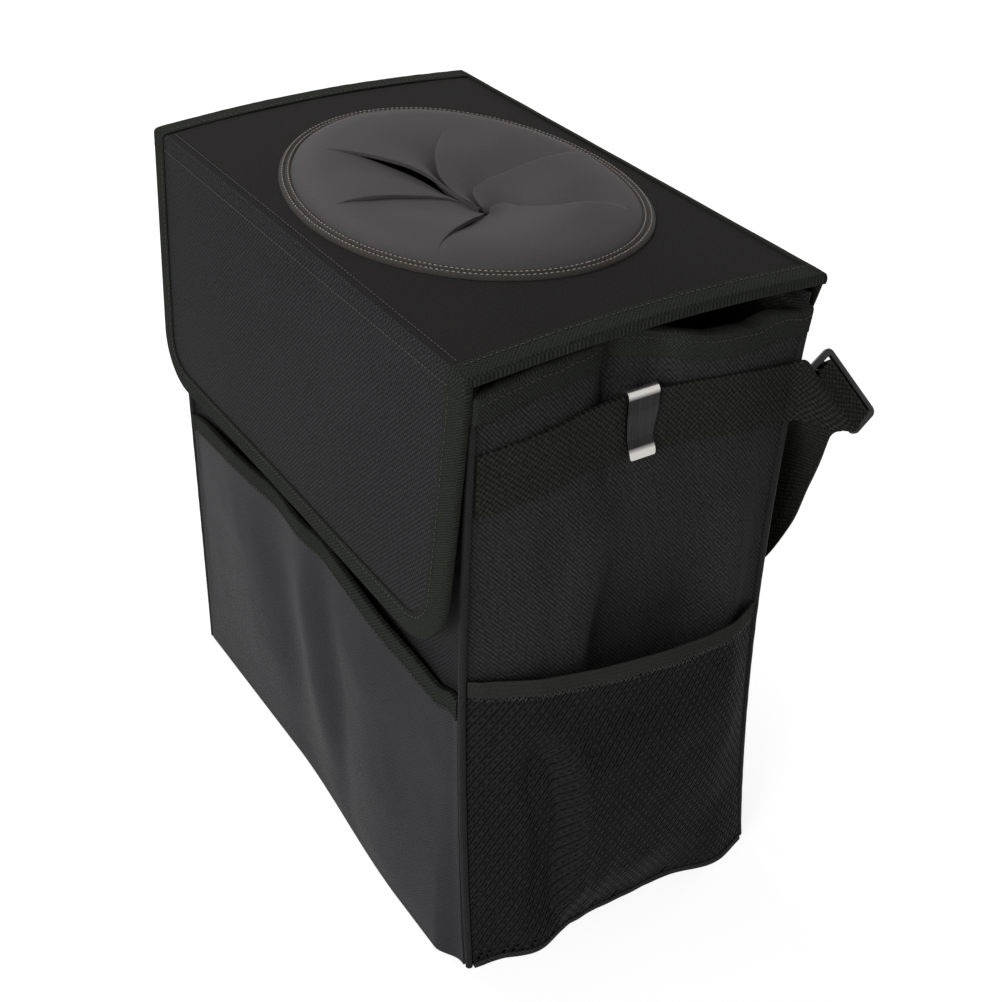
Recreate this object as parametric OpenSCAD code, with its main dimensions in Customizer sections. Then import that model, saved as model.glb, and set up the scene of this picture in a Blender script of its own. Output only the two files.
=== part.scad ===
// Car trash bin: a soft sided box bag with stiffening boards, a hinged lid with a slit
// opening, a front flap, storage pockets, webbing straps and metal bag clips.
// The origin is the middle of the base on the floor, +X is the right side, -Y the front.

/* [Bin] */
// Width of the bin at its base
base_w = 284; // [240:1:340]
// How much narrower the bin is at its rim than at its base
rim_narrowing = 6; // [0:1:10]
// Depth of the bin from front to back
bin_d = 160; // [130:1:220]
// Height of the rim above the floor
rim_h = 303; // [270:1:380]
// Thickness of the coated oxford fabric
fabric_t = 1.2; // [0.8:0.1:1.6]
// Thickness of the stiffening boards in the front, back and base
board_t = 1.8; // [1:0.1:2.4]
// Thickness of the waterproof liner
liner_t = 0.8; // [0.5:0.1:1.2]
// How far the middle of each side folds in
crease_depth = 9; // [4:0.5:12]
// Radius of the piping along the upright corners
piping_r = 1.6; // [1:0.1:2]

/* [Lid and flap] */
// How far the lid reaches past the rim at each side
lid_side_reach = 1; // [0.5:0.5:6]
// How far the lid reaches past the front and the back, to its fold and its hinge
lid_reach = 5; // [5:0.5:8]
// Height of the top of the lid above the rim
lid_rise = 7; // [7:0.5:14]
// How far the middle of the lid is crowned above its corners
lid_crown = 6; // [0:0.5:9]
// Thickness of the board inside the lid and the flap
lid_board_t = 1.4; // [1:0.1:2]
// Thickness of the lining under the lid and the flap
lining_t = 0.8; // [0.5:0.1:1]
// Length of the front flap below its fold
flap_h = 125; // [90:1:150]
// How much the flap narrows at each side towards its lower edge
flap_narrowing = 4; // [0:0.5:10]
// Radius of the lower corners of the flap
flap_corner_r = 26; // [14:1:40]
// How far the flap hangs out from the front, in degrees
flap_tilt = 3.5; // [1.5:0.1:5]
// Width of the binding tape
tape_w = 10; // [8:0.5:16]
// Thickness of the binding tape
tape_t = 0.7; // [0.4:0.1:1]
// Length and height of the hook and loop strips
closure_size = [90, 20]; // [10:1:110]
// Thickness of each hook and loop strip
closure_t = 1.5; // [0.8:0.1:2]

/* [Opening] */
// Distances from the ring of the opening to the side edges and to the front of the lid
opening_margin = [42, 11]; // [10:1:70]
// Width of the stitched ring round the opening
ring_w = 5; // [4:0.5:8]
// Thickness of the rubber sheet in the opening
insert_t = 2.4; // [1.6:0.1:3]
// Height that the rubber sheet swells above the lid
dome_h = 5; // [2:0.5:9]
// Depth that the sheet sinks from its swell to its middle
dome_dip = 6; // [2:0.5:8]
// Rise and fall of the edges of each petal at its tip
petal_lift = 3.4; // [0:0.1:4]
// Width of each slit
slit_gap = 0.8; // [0.5:0.1:2]

/* [Pockets] */
// Distance from the level of the flap's lower edge down to the top of the front pocket
pocket_below_flap = 13; // [10:1:60]
// How far the front pocket stands out at its middle
pocket_bulge = 8; // [5:0.5:12]
// Height of the mesh pockets at their sides
mesh_h = 158; // [110:1:190]
// How far the mesh pockets stand out at their middle
mesh_bulge = 8; // [4:0.5:12]
// How far the top edge of a pocket sags between its sides
pocket_sag = 9; // [2:0.5:14]
// Thickness of the mesh
mesh_t = 1; // [0.8:0.1:2]
// Height of the elastic along the mesh pockets
elastic_h = 9; // [6:0.5:14]
// Number of mesh openings along a row
mesh_columns = 9; // [6:1:12]
// Number of rows of mesh openings
mesh_rows = 6; // [5:1:9]

/* [Straps and clips] */
// Width of the webbing
webbing_w = 28; // [20:1:30]
// Thickness of the webbing
webbing_t = 1.6; // [1.2:0.1:2]
// Distance from the rim down to the middle of the webbing at the front corners
webbing_drop = 42; // [42:1:60]
// Depth that the strap loop behind the bin hangs down
strap_drop = 168; // [120:1:180]
// Width of each bag clip
clip_w = 15; // [10:0.5:20]
// Height of each bag clip
clip_h = 30; // [29:0.5:34]
// Thickness of the spring steel of a bag clip
clip_t = 0.9; // [0.6:0.1:1.2]
// Length, width and thickness of the strap slider
slider_size = [36, 17, 2.4]; // [1:0.1:40]

/* [Hidden] */

// Clearance between pieces that lie against each other without being bonded
seat_gap = 0.3;
// Width of the bin at its rim
rim_w = base_w - rim_narrowing;
// Width and depth of the lid and the height of its top
lid_w = rim_w + 2 * lid_side_reach;
lid_d = bin_d + 2 * lid_reach;
lid_top = rim_h + lid_rise;
// Height of the front pocket at its sides
pocket_h = lid_top - flap_h - pocket_below_flap;
// Height of the middle of the webbing at the front corners
webbing_z = rim_h - webbing_drop;
// Half the depth of a side panel, which ends at the inside of the front and back
side_half = bin_d / 2 - fabric_t;
// Inside faces of the boards, where the liner hangs
liner_half_d = side_half - board_t - seat_gap;
// Height at which the side folds reach their full depth
crease_full_z = 0.4 * rim_h;
// Lower edge of the binding round the mouth
binding_z = rim_h - tape_w;
// Heights at which the curved side walls are shaped
levels = [fabric_t, 0.1 * rim_h, 0.2 * rim_h, 0.3 * rim_h, crease_full_z, 0.53 * rim_h,
    0.68 * rim_h, 0.82 * rim_h, binding_z, rim_h];
// Places from front to back at which the side walls are shaped, closer at the crease
side_steps = [for (i = [-7:7]) sign(i) * pow(abs(i) / 7, 1.3)];

// Half the width of the bin at a height
function half_w(z) = base_w / 2 + (rim_w - base_w) / 2 * z / rim_h;
// Smooth step from 0 to 1
function ease(t) = let (c = min(1, max(0, t))) c * c * (3 - 2 * c);
// How wide the fold in the side is: broad low down and sharp at the rim
function crease_power(z) = 1.3 + 2.4 * ease((z - crease_full_z) / (binding_z - crease_full_z));
// How far the side wall is folded in at a place and a height
function crease(y, z) =
    let (a = min(90, 90 * abs(y) / side_half), depth = crease_depth * ease(z / crease_full_z))
    depth * (0.7 * pow(cos(a), crease_power(z)) + 0.3 * cos(a) * exp(-abs(y) / 7));

// Solid between two sheets of points; outer and inner give a point for each u and v
module thick_sheet(us, vs, outer, inner) {
    nu = len(us);
    nv = len(vs);
    n = nu * nv;
    cells = [for (i = [0:nu - 2], j = [0:nv - 2]) i * nv + j];
    ends = [for (j = [0:nv - 2]) let (e = n - nv + j) each [
        [j + 1, j, n + j], [j + 1, n + j, n + j + 1],
        [e, e + 1, n + e + 1], [e, n + e + 1, n + e]]];
    sides = [for (i = [0:nu - 2]) let (a = i * nv, b = a + nv, c = b - 1, d = c + nv) each [
        [a, b, n + b], [a, n + b, n + a], [d, c, n + c], [d, n + c, n + d]]];
    polyhedron(
        [for (u = us, v = vs) outer(u, v), for (u = us, v = vs) inner(u, v)],
        [for (k = cells) each [
            [k, k + nv + 1, k + nv], [k, k + 1, k + nv + 1],
            [n + k, n + k + nv, n + k + nv + 1], [n + k, n + k + nv + 1, n + k + 1]],
         each ends, each sides]);
}

// Solid through a row of outlines that have the same number of points
module skin(rings, closed = false) {
    m = len(rings[0]);
    n = len(rings);
    joins = [for (i = [0:n - (closed ? 1 : 2)], j = [0:m - 1])
        let (a = i * m, b = ((i + 1) % n) * m, k = (j + 1) % m) each [
        [a + j, b + j, b + k], [a + j, b + k, a + k]]];
    caps = closed ? [] : [[for (j = [0:m - 1]) j], [for (j = [m - 1:-1:0]) (n - 1) * m + j]];
    polyhedron([for (ring = rings) each ring], [each joins, each caps]);
}

function unit(v) = v / norm(v);
// Rectangular section of a band with its middle at c, its width along w and its face along n
function band_ring(c, w, n, width, thick) = [
    c + w * width / 2 + n * thick / 2, c - w * width / 2 + n * thick / 2,
    c - w * width / 2 - n * thick / 2, c + w * width / 2 - n * thick / 2];
// Sections of a band along stations, each a middle point and a width direction
function band_rings(stations, width, thick) =
    let (last = len(stations) - 1)
    [for (i = [0:last]) let (
        t = unit(stations[min(last, i + 1)][0] - stations[max(0, i - 1)][0]),
        w = unit(stations[i][1]),
        n = unit(cross(t, w)))
        band_ring(stations[i][0], w, n, width, thick)];
// Smooth curve through keys, with a number of steps between two keys
function smooth_path(keys, steps) =
    let (last = len(keys) - 1)
    [for (i = [0:last - 1], s = [0:steps - 1]) let (
        t = s / steps, a = keys[max(0, i - 1)], b = keys[i], c = keys[i + 1], d = keys[min(last, i + 2)])
        (2 * b + (c - a) * t + (2 * a - 5 * b + 4 * c - d) * t * t
            + (3 * b - a - 3 * c + d) * t * t * t) / 2, keys[last]];

// Panels, boards and liner of the bin

module base_panel() {
    color("#26262a")
    translate([-base_w / 2, -bin_d / 2, 0])
    cube([base_w, bin_d, fabric_t]);
}

// Upright plate between two heights, as wide as the bin less an inset at each side
module upright_plate(y, thick, z0, z1, inset) {
    translate([0, y + thick, 0])
    rotate([90, 0, 0])
    linear_extrude(height = thick)
    polygon([[-half_w(z0) + inset, z0], [half_w(z0) - inset, z0],
        [half_w(z1) - inset, z1], [-half_w(z1) + inset, z1]]);
}

module front_panel() {
    color("#26262a")
    upright_plate(-bin_d / 2, fabric_t, fabric_t, rim_h, 0);
}

module back_panel() {
    color("#26262a")
    upright_plate(side_half, fabric_t, fabric_t, rim_h, 0);
}

module side_panel_right() {
    color("#222226")
    thick_sheet([for (s = side_steps) s * side_half], levels,
        function (y, z) [half_w(z) - crease(y, z), y, z],
        function (y, z) [half_w(z) - crease(y, z) - fabric_t, y, z]);
}

module side_panel_left() {
    mirror([1, 0, 0])
    side_panel_right();
}

module base_board() {
    half_x = half_w(fabric_t + board_t) - fabric_t - seat_gap;
    half_y = side_half - seat_gap;
    color("#303034")
    translate([-half_x, -half_y, fabric_t])
    cube([2 * half_x, 2 * half_y, board_t]);
}

// Lowest and highest edges of the front and back boards
board_z0 = fabric_t + board_t + seat_gap;
board_z1 = rim_h - 2;
// How far the front and back boards stop short of the side panels
board_inset = fabric_t + 10;

module front_board() {
    color("#303034")
    upright_plate(-side_half, board_t, board_z0, board_z1, board_inset);
}

module back_board() {
    color("#303034")
    upright_plate(side_half - board_t, board_t, board_z0, board_z1, board_inset);
}

// Outline of the bin at a height, moved in at the sides and set to a half depth
function plan_outline(side_inset, half_d, z) = [
    for (s = side_steps) [half_w(z) - side_inset - crease(s * side_half, z), s * half_d, z],
    for (s = side_steps) [-half_w(z) + side_inset + crease(s * side_half, z), -s * half_d, z]];

// Distance from the outside of a side panel to the liner
liner_inset = fabric_t + 3 * seat_gap;
liner_z0 = board_z0;

module liner() {
    heights = [liner_z0, for (i = [1:len(levels) - 1]) levels[i]];
    floor_z = liner_z0 + liner_t;
    color("#141416")
    skin([
        for (z = heights) plan_outline(liner_inset, liner_half_d, z),
        for (i = [len(heights) - 1:-1:1])
            plan_outline(liner_inset + liner_t, liner_half_d - liner_t, heights[i]),
        plan_outline(liner_inset + liner_t, liner_half_d - liner_t, floor_z)]);
}

// Folded tape over the top edges of the panels and the liner
module rim_binding() {
    out = -seat_gap - tape_t;
    side_in = liner_inset + liner_t + seat_gap;
    front_in = liner_half_d - liner_t - seat_gap;
    top = rim_h + seat_gap;
    outer_d = bin_d / 2 + seat_gap;
    // Section of the folded tape as side inset, half depth and height
    section = [
        [out, outer_d + tape_t, binding_z], [out, outer_d + tape_t, top + tape_t],
        [side_in + tape_t, front_in - tape_t, top + tape_t],
        [side_in + tape_t, front_in - tape_t, binding_z],
        [side_in, front_in, binding_z], [side_in, front_in, top],
        [-seat_gap, outer_d, top], [-seat_gap, outer_d, binding_z]];
    rings = [for (p = section)
        [for (q = plan_outline(p[0], p[1], min(p[2], rim_h))) [q[0], q[1], p[2]]]];
    stations = len(rings[0]);
    color("#1c1e1c")
    skin([for (i = [stations - 1:-1:0]) [for (ring = rings) ring[i]]], closed = true);
}

// Round piping seated on an upright corner, from the base to the binding
module corner_piping() {
    lean = atan((base_w - rim_w) / 2 / rim_h);
    length = (binding_z - seat_gap - fabric_t) / cos(lean);
    color("#1a1a1c")
    translate([half_w(fabric_t), -bin_d / 2, fabric_t])
    rotate([0, -lean, 0])
    linear_extrude(height = length)
    difference() {
        circle(r = piping_r, $fn = 32);
        translate([-2 * piping_r, 0])
        square(2 * piping_r);
    }
}

module corner_piping_front_right() {
    corner_piping();
}

module corner_piping_front_left() {
    mirror([1, 0, 0])
    corner_piping();
}

module corner_piping_back_right() {
    mirror([0, 1, 0])
    corner_piping();
}

module corner_piping_back_left() {
    mirror([1, 0, 0])
    mirror([0, 1, 0])
    corner_piping();
}

// Front pocket

// How far a pocket stands out, from 0 at its sewn edges to 1 at the middle of its top
function swell(u, v) = pow(cos(90 * u), 0.8) * (0.25 + 0.75 * ease(v)) * ease(3 * v);
// Height of a point on a pocket with a given top height
function pocket_z(u, v, h) = fabric_t + (h - pocket_sag * cos(90 * u) - fabric_t) * v;
// Sewn half width of the front pocket at a height
function pocket_half_w(z) = half_w(z) - piping_r - seat_gap;

// Point of the front pocket, at a distance in front of its inner face
function pocket_point(u, v, out) =
    let (z = pocket_z(u, v, pocket_h))
    [u * pocket_half_w(z), -bin_d / 2 - pocket_bulge * swell(u, v) - out, z];

pocket_steps = [for (i = [-8:8]) sign(i) * (1 - pow(1 - abs(i) / 8, 1.3))];

module front_pocket() {
    rows = [0, 0.12, 0.3, 0.5, 0.7, 0.86, 1];
    color("#28282c")
    thick_sheet(pocket_steps, rows,
        function (u, v) pocket_point(u, v, fabric_t),
        function (u, v) pocket_point(u, v, 0));
}

module front_pocket_binding() {
    low = 1 - tape_w / pocket_h;
    // Section of the folded tape as distance out, position up the pocket and rise above it
    section = [[fabric_t + seat_gap / 2, low, 0], [fabric_t + seat_gap / 2, 1, seat_gap / 2],
        [-seat_gap / 2, 1, seat_gap / 2], [-seat_gap / 2, 1, seat_gap / 2 + tape_t],
        [fabric_t + seat_gap / 2 + tape_t, 1, seat_gap / 2 + tape_t],
        [fabric_t + seat_gap / 2 + tape_t, low, 0]];
    color("#1c1e1c")
    translate([0, -seat_gap / 2, 0])
    skin([for (u = pocket_steps) [for (p = section) pocket_point(u, p[1], p[0]) + [0, 0, p[2]]]]);
}

// Mesh pockets on the sides

// Fold down the mesh, a third of the way from the front
function mesh_fold(u) = exp(-pow((u + 0.42) / 0.14, 2));

// Point of a mesh pocket, at a distance out from its inner face
function mesh_point(u, v, out) =
    let (z = pocket_z(u, v, mesh_h), y = u * (side_half - piping_r),
        stand = mesh_bulge * swell(u, v) * (1 - 0.6 * mesh_fold(u)))
    [half_w(z) + 0.05 + max(stand, 0) + out, y, z];

// Sheet pierced by rows of staggered six sided holes; front and rear give its two faces
// for positions from -1 to 1 across and from 0 to 1 up
module pierced_sheet(columns, rows, front, rear) {
    half_steps = 2 * columns + 1;
    across = function (h) 2 * h / half_steps - 1;
    up = function (r) r / rows;
    // The six lattice corners of a tile and the six corners of its hole
    tile = function (h, r) [[h, r], [h + 1, r], [h + 2, r], [h + 2, r + 1], [h + 1, r + 1], [h, r + 1]];
    hole = function (h, r) [[h + 0.3, r + 0.32], [h + 1, r + 0.12], [h + 1.7, r + 0.32],
        [h + 1.7, r + 0.68], [h + 1, r + 0.88], [h + 0.3, r + 0.68]];
    faces_of = function (h, r) concat(tile(h, r), hole(h, r));
    tiles = [for (r = [0:rows - 1], c = [0:columns - 1]) faces_of(2 * c + r % 2, r)];
    // Plain half tiles fill the ends of the staggered rows
    fills = [for (r = [0:rows - 1]) let (h = r % 2 == 0 ? half_steps - 1 : 0)
        [[h, r], [h + 1, r], [h + 1, r + 1], [h, r + 1]]];
    edges = [
        for (h = [0:half_steps - 1]) each [[[h + 1, 0], [h, 0]], [[h, rows], [h + 1, rows]]],
        for (r = [0:rows - 1]) each [[[0, r], [0, r + 1]], [[half_steps, r + 1], [half_steps, r]]]];
    place = function (p, face) face(across(p[0]), up(p[1]));
    points = [
        for (t = tiles) each [for (p = t) place(p, front), for (p = t) place(p, rear)],
        for (t = fills) each [for (p = t) place(p, front), for (p = t) place(p, rear)],
        for (e = edges) each [for (p = e) place(p, front), for (p = e) place(p, rear)]];
    fill_start = 24 * len(tiles);
    edge_start = fill_start + 8 * len(fills);
    faces = [
        for (i = [0:len(tiles) - 1], j = [0:5]) let (a = 24 * i, k = (j + 1) % 6) each [
            [a + k, a + j, a + 6 + j], [a + k, a + 6 + j, a + 6 + k],
            [a + 12 + j, a + 12 + k, a + 18 + k], [a + 12 + j, a + 18 + k, a + 18 + j],
            [a + 6 + k, a + 6 + j, a + 18 + j], [a + 6 + k, a + 18 + j, a + 18 + k]],
        for (i = [0:len(fills) - 1]) let (a = fill_start + 8 * i) each [
            [a + 2, a + 1, a], [a + 3, a + 2, a], [a + 4, a + 5, a + 6], [a + 4, a + 6, a + 7]],
        for (i = [0:len(edges) - 1]) let (a = edge_start + 4 * i) each [
            [a, a + 3, a + 1], [a, a + 2, a + 3]]];
    polyhedron(points, faces);
}

module mesh_pocket_right() {
    // The top of the mesh ends under the elastic
    top = 1 - elastic_h / mesh_h;
    color("#1e1e20")
    pierced_sheet(mesh_columns, mesh_rows,
        function (u, v) mesh_point(u, v * top, mesh_t),
        function (u, v) mesh_point(u, v * top, 0));
}

module mesh_pocket_left() {
    mirror([1, 0, 0])
    mesh_pocket_right();
}

// Ribbed elastic sewn along the top edge of the mesh
module mesh_elastic_right() {
    low = 1 - elastic_h / mesh_h;
    ribs = 4;
    rib_depth = 0.5;
    rise = function (v) low + (1 - low) * v / (2 * ribs);
    color("#1a1c1a")
    translate([0, 0, seat_gap / 3])
    thick_sheet([for (i = [-7:7]) i / 7], [for (i = [0:2 * ribs]) i],
        function (u, v) mesh_point(u, rise(v), mesh_t + v % 2 * rib_depth),
        function (u, v) mesh_point(u, rise(v), 0));
}

module mesh_elastic_left() {
    mirror([1, 0, 0])
    mesh_elastic_right();
}

// Soft strip on the front, which the flap presses on near its lower edge
closure_z = lid_top - flap_h + 17;

module loop_tape() {
    color("#202022")
    translate([-closure_size[0] / 2, -bin_d / 2 - closure_t, closure_z])
    cube([closure_size[0], closure_t, closure_size[1]]);
}

// Straps, slider and clips

// Height of the middle of the side webbing from front to back
function webbing_height(y) = webbing_z - 1.25 + 5.5 * cos(90 * y / side_half) - 1.25 * y / side_half;
// How far the webbing is drawn in at the middle of the side
function webbing_dip(y) = 0.5 * crease_depth * pow(cos(90 * y / side_half), 3);
// How far the webbing stands off where it passes over the piping at the back corner
function webbing_rise(y) = (piping_r + seat_gap) * ease((y / side_half - 0.5) / 0.45);
// Middle point of the webbing on the right side
function webbing_point(y) = let (z = webbing_height(y))
    [half_w(z) + seat_gap + webbing_t / 2 + 0.2 + webbing_rise(y) - webbing_dip(y), y, z];
webbing_steps = [for (i = [-8:8]) i / 8 * (side_half - piping_r)];

// Frame of the slider: its middle, its long direction, its outer face and the direction
// across it towards the bag
slider_pos = [rim_w / 2 + 5, bin_d / 2 + 20, webbing_z - 7];
slider_long = unit([0.54, 0.39, -0.75]);
slider_face = unit(cross(slider_long, [-0.26, 0.92, 0.29]));
slider_cross = cross(slider_long, slider_face);
// Point beside the slider, from its middle towards the bag and outwards
function at_slider(u, n) = slider_pos + slider_cross * u + slider_face * n;

slider_bar = 2.6;
slider_slot = (slider_size[1] - 3 * slider_bar) / 2;

module strap_slider() {
    length = slider_size[0];
    width = slider_size[1];
    round_r = 3;
    slot_l = webbing_w + 2;
    slot_u = (slider_bar + slider_slot) / 2;
    color("#0c0c0e")
    multmatrix([for (k = [0:2]) [slider_long[k], -slider_cross[k], slider_face[k], slider_pos[k]]])
    translate([0, 0, -slider_size[2] / 2])
    linear_extrude(height = slider_size[2])
    difference() {
        union() {
            square([length - 2 * round_r, width], center = true);
            square([length, width - 2 * round_r], center = true);
            for (sx = [-1, 1], sy = [-1, 1])
                translate([sx * (length / 2 - round_r), sy * (width / 2 - round_r)])
                circle(r = round_r, $fn = 32);
        }
        for (s = [-1, 1])
            translate([0, s * slot_u])
            square([slot_l, slider_slot], center = true);
    }
}

// Distances of the folded webbing from the middle of the slider
strap_off = norm([slider_bar, slider_size[2]]) / 2 + seat_gap + webbing_t / 2;
second_off = strap_off + webbing_t + seat_gap;
near_bar = slider_slot + slider_bar;

module side_webbing_right() {
    up = -slider_long;
    turn_r = (second_off + strap_off) / 2;
    turn_n = (second_off - strap_off) / 2;
    turn_u = turn_r - (slider_bar + slider_slot) / 2;
    run = [for (y = webbing_steps) [webbing_point(y), [0, 0, 1]]];
    leave = webbing_point(webbing_steps[len(webbing_steps) - 1]);
    bridge = smooth_path([leave, leave + [2.5, 6, 0], at_slider(near_bar + 3.5, second_off + 0.4),
        at_slider(near_bar - 2, second_off)], 3);
    // The webbing turns to the slider's slant once it is past the corner
    across = [for (i = [1:len(bridge) - 1]) let (turn = ease((i - 2) / 5))
        [bridge[i], [0, 0, 1 - turn] + up * turn]];
    fold = [for (a = [0:30:180]) [at_slider(turn_u - turn_r * sin(a), turn_n + turn_r * cos(a)), up]];
    tail = [[at_slider(turn_u + 1.4, turn_n - turn_r), up]];
    color("#1e201e")
    skin(band_rings([each run, each across, each fold, each tail], webbing_w, webbing_t));
}

module hanging_strap() {
    up = -slider_long;
    back_y = bin_d / 2 + 16;
    low_z = webbing_z - strap_drop;
    start = webbing_point(webbing_steps[len(webbing_steps) - 1]);
    side = [for (y = webbing_steps) let (p = webbing_point(y)) [[-p[0], p[1], p[2]], [0, 0, 1]]];
    // Stations of the loop, each a share of the half width, a depth behind the back, a share
    // of the drop and a width direction
    loop = [
        [-1.03, 9, 0.02, [0.1, 0.05, 1]], [-1, 17, 0.09, [0.45, 0.15, 0.88]],
        [-0.94, 20, 0.24, [0.85, 0.05, 0.5]], [-0.86, 20, 0.45, [0.9, -0.1, 0.45]],
        [-0.7, 19, 0.68, [0.75, -0.2, 0.65]], [-0.44, 17, 0.89, [0.45, -0.3, 0.85]],
        [0, 16, 1, [0, -0.35, 0.95]],
        [0.44, 17, 0.89, [-0.45, -0.3, 0.85]], [0.67, 19, 0.7, [-0.75, -0.2, 0.65]],
        [0.8, 20, 0.5, [-0.9, -0.1, 0.45]], [0.87, 19, 0.32, [-0.85, -0.15, 0.5]]];
    loop_keys = [for (k = loop) [k[0] * rim_w / 2, bin_d / 2 + k[1], low_z + strap_drop * (1 - k[2])]];
    keys = [[-start[0], start[1], start[2]], each loop_keys,
        at_slider(near_bar + 6, -second_off - 4), at_slider(near_bar + 1.5, -strap_off - 0.5)];
    turns = [[0, 0, 1], each [for (k = loop) k[3]], up, up];
    points = smooth_path(keys, 3);
    widths = smooth_path(turns, 3);
    droop = [for (i = [1:len(points) - 1]) [points[i], widths[i]]];
    hook = [for (a = [180:-36:0]) [at_slider(near_bar - strap_off * sin(a), strap_off * cos(a)), up]];
    color("#1e201e")
    skin(band_rings([each side, each droop, each hook], webbing_w, webbing_t));
}

// Spring steel clip folded over the webbing: its back leaf, top bend and front leaf with a
// waist and a flared lip
clip_y = -2;
clip_gap = webbing_t + 1.6;

// Outline of a strip of one thickness along a bent line
function strip_outline(line, thick) =
    let (last = len(line) - 1,
        normals = [for (i = [0:last]) let (t = unit(line[min(last, i + 1)] - line[max(0, i - 1)]))
            [-t[1], t[0]]])
    [for (i = [0:last]) line[i] + normals[i] * thick / 2,
     for (i = [last:-1:0]) line[i] - normals[i] * thick / 2];

module bag_clip_right() {
    bend_r = (clip_gap + clip_t) / 2;
    lip_h = 6;
    waist_w = clip_w - 2.4;
    top_z = webbing_height(clip_y) + webbing_w / 2 + seat_gap + clip_t / 2 + bend_r;
    leaf = clip_h - bend_r - clip_t / 2;
    line = [[0, -leaf], [0, 0], for (a = [165:-15:15]) [bend_r + bend_r * cos(a), bend_r * sin(a)],
        [2 * bend_r, 0], [2 * bend_r, -0.25 * leaf], [2 * bend_r - 0.7, -0.55 * leaf],
        [2 * bend_r - 0.8, -leaf + lip_h + 2], [2 * bend_r - 0.2, -leaf + lip_h],
        [2 * bend_r + 1.5, -leaf + 2.5], [2 * bend_r + 2.2, -leaf]];
    x = webbing_point(clip_y)[0] - webbing_t / 2 - seat_gap - clip_t / 2 - 0.3;
    color("#55555a")
    translate([x, clip_y, top_z - bend_r - clip_t / 2])
    intersection() {
        rotate([90, 0, 0])
        linear_extrude(height = clip_w, center = true)
        polygon(strip_outline(line, clip_t));
        // Front view of the clip, waisted above the lip with rounded lip corners
        translate([-clip_w, 0, 0])
        rotate([90, 0, 90])
        linear_extrude(height = 3 * clip_w)
        union() {
            polygon([[-clip_w / 2, clip_h], [-clip_w / 2, -0.3 * leaf],
                [-waist_w / 2, -leaf + lip_h + 1], [waist_w / 2, -leaf + lip_h + 1],
                [clip_w / 2, -0.3 * leaf], [clip_w / 2, clip_h]]);
            translate([-waist_w / 2, -leaf + 2])
            square([waist_w, lip_h]);
            translate([-waist_w / 2 + 2, -leaf - 1])
            square([waist_w - 4, 4]);
            for (s = [-1, 1])
                translate([s * (waist_w / 2 - 2), -leaf + 1.6])
                circle(r = 2, $fn = 24);
        }
    }
}

module bag_clip_left() {
    mirror([1, 0, 0])
    bag_clip_right();
}

// Lid

// Faces of the lid from the top down
lid_board_top = lid_top - fabric_t;
lid_lining_top = lid_board_top - lid_board_t;
lid_under = lid_lining_top - lining_t;
stack_t = lid_top - lid_under;
// Fold line between the lid and the flap, and the hinge line at the back
fold_r = stack_t / 2;
fold_y = -lid_d / 2 + fold_r;
fold_z = lid_under + fold_r;
lid_front_y = fold_y + fold_r + seat_gap;
hinge_y = lid_d / 2;
// Width of the lid inside its binding tapes
lid_inner_w = lid_w - 2 * (tape_t + seat_gap / 3);

// Half sizes of the ring's outside and of the hole that the ring lines
ring_a = lid_w / 2 - opening_margin[0];
ring_b = lid_d / 2 - opening_margin[1];
hole_inset = ring_w * 0.55;

// Height that the crown adds to the lid at a place
function crown(x, y) = lid_crown * max(0, 1 - pow(2 * y / lid_d, 2)) * (1 - 0.4 * pow(2 * x / lid_w, 2));

// Places round the outline of the lid, clockwise from above, with its corners among them
lid_outline = let (x = lid_inner_w / 2, across = [for (i = [-7:6]) x * i / 7],
        along = [for (i = [0:7]) hinge_y + (lid_front_y - hinge_y) * i / 8]) [
    for (x0 = across) [x0, hinge_y], for (y0 = along) [x, y0],
    for (x0 = across) [-x0, lid_front_y], for (y0 = along) [-x, lid_front_y + hinge_y - y0]];
// Shares of the way from the hole to the outline at which the lid is shaped
lid_shares = [0, 0.5, 1];

// Crowned layer of the lid, from the edge of its oval hole to its outline
module lid_layer(z, thick) {
    // Keeps the straight stretches between the shaped places clear of the ring
    hole_fit = 1 / cos(6);
    hole_a = (ring_a - hole_inset) * hole_fit;
    hole_b = (ring_b - hole_inset) * hole_fit;
    spot = function (p, s, h) let (
            a = atan2(p[1] / hole_b, p[0] / hole_a),
            q = [hole_a * cos(a), hole_b * sin(a)] * (1 - s) + p * s)
        [q[0], q[1], z + h + crown(q[0], q[1])];
    last = len(lid_shares) - 1;
    skin([for (p = lid_outline) [
        for (s = lid_shares) spot(p, s, 0),
        for (i = [last:-1:0]) spot(p, lid_shares[i], thick - seat_gap / 3)]], closed = true);
}

module lid_panel() {
    color("#2a2826")
    lid_layer(lid_board_top, fabric_t);
}

module lid_board() {
    color("#303034")
    lid_layer(lid_lining_top, lid_board_t);
}

module lid_lining() {
    color("#18181a")
    lid_layer(lid_under, lining_t);
}

// Tape folded round a side edge of the lid
module lid_binding_right() {
    edge = lid_w / 2;
    gap = seat_gap / 3;
    nose = 0.8;
    low = -gap - tape_t;
    high = stack_t + gap + tape_t;
    // Section as distance in from the side edge and height above the underside of the lid
    section = [[tape_w, low], [nose, low], [0, low + nose], [0, high - nose], [nose, high], [tape_w, high],
        [tape_w, stack_t + gap], [tape_t, stack_t + gap], [tape_t, -gap], [tape_w, -gap]];
    color("#1c1e1c")
    skin([for (i = [12:-1:0]) let (y = lid_front_y + (hinge_y - lid_front_y) * i / 12)
        [for (p = section) [edge - p[0], y, lid_under + p[1] + crown(edge - p[0], y)]]]);
}

module lid_binding_left() {
    mirror([1, 0, 0])
    lid_binding_right();
}

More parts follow.
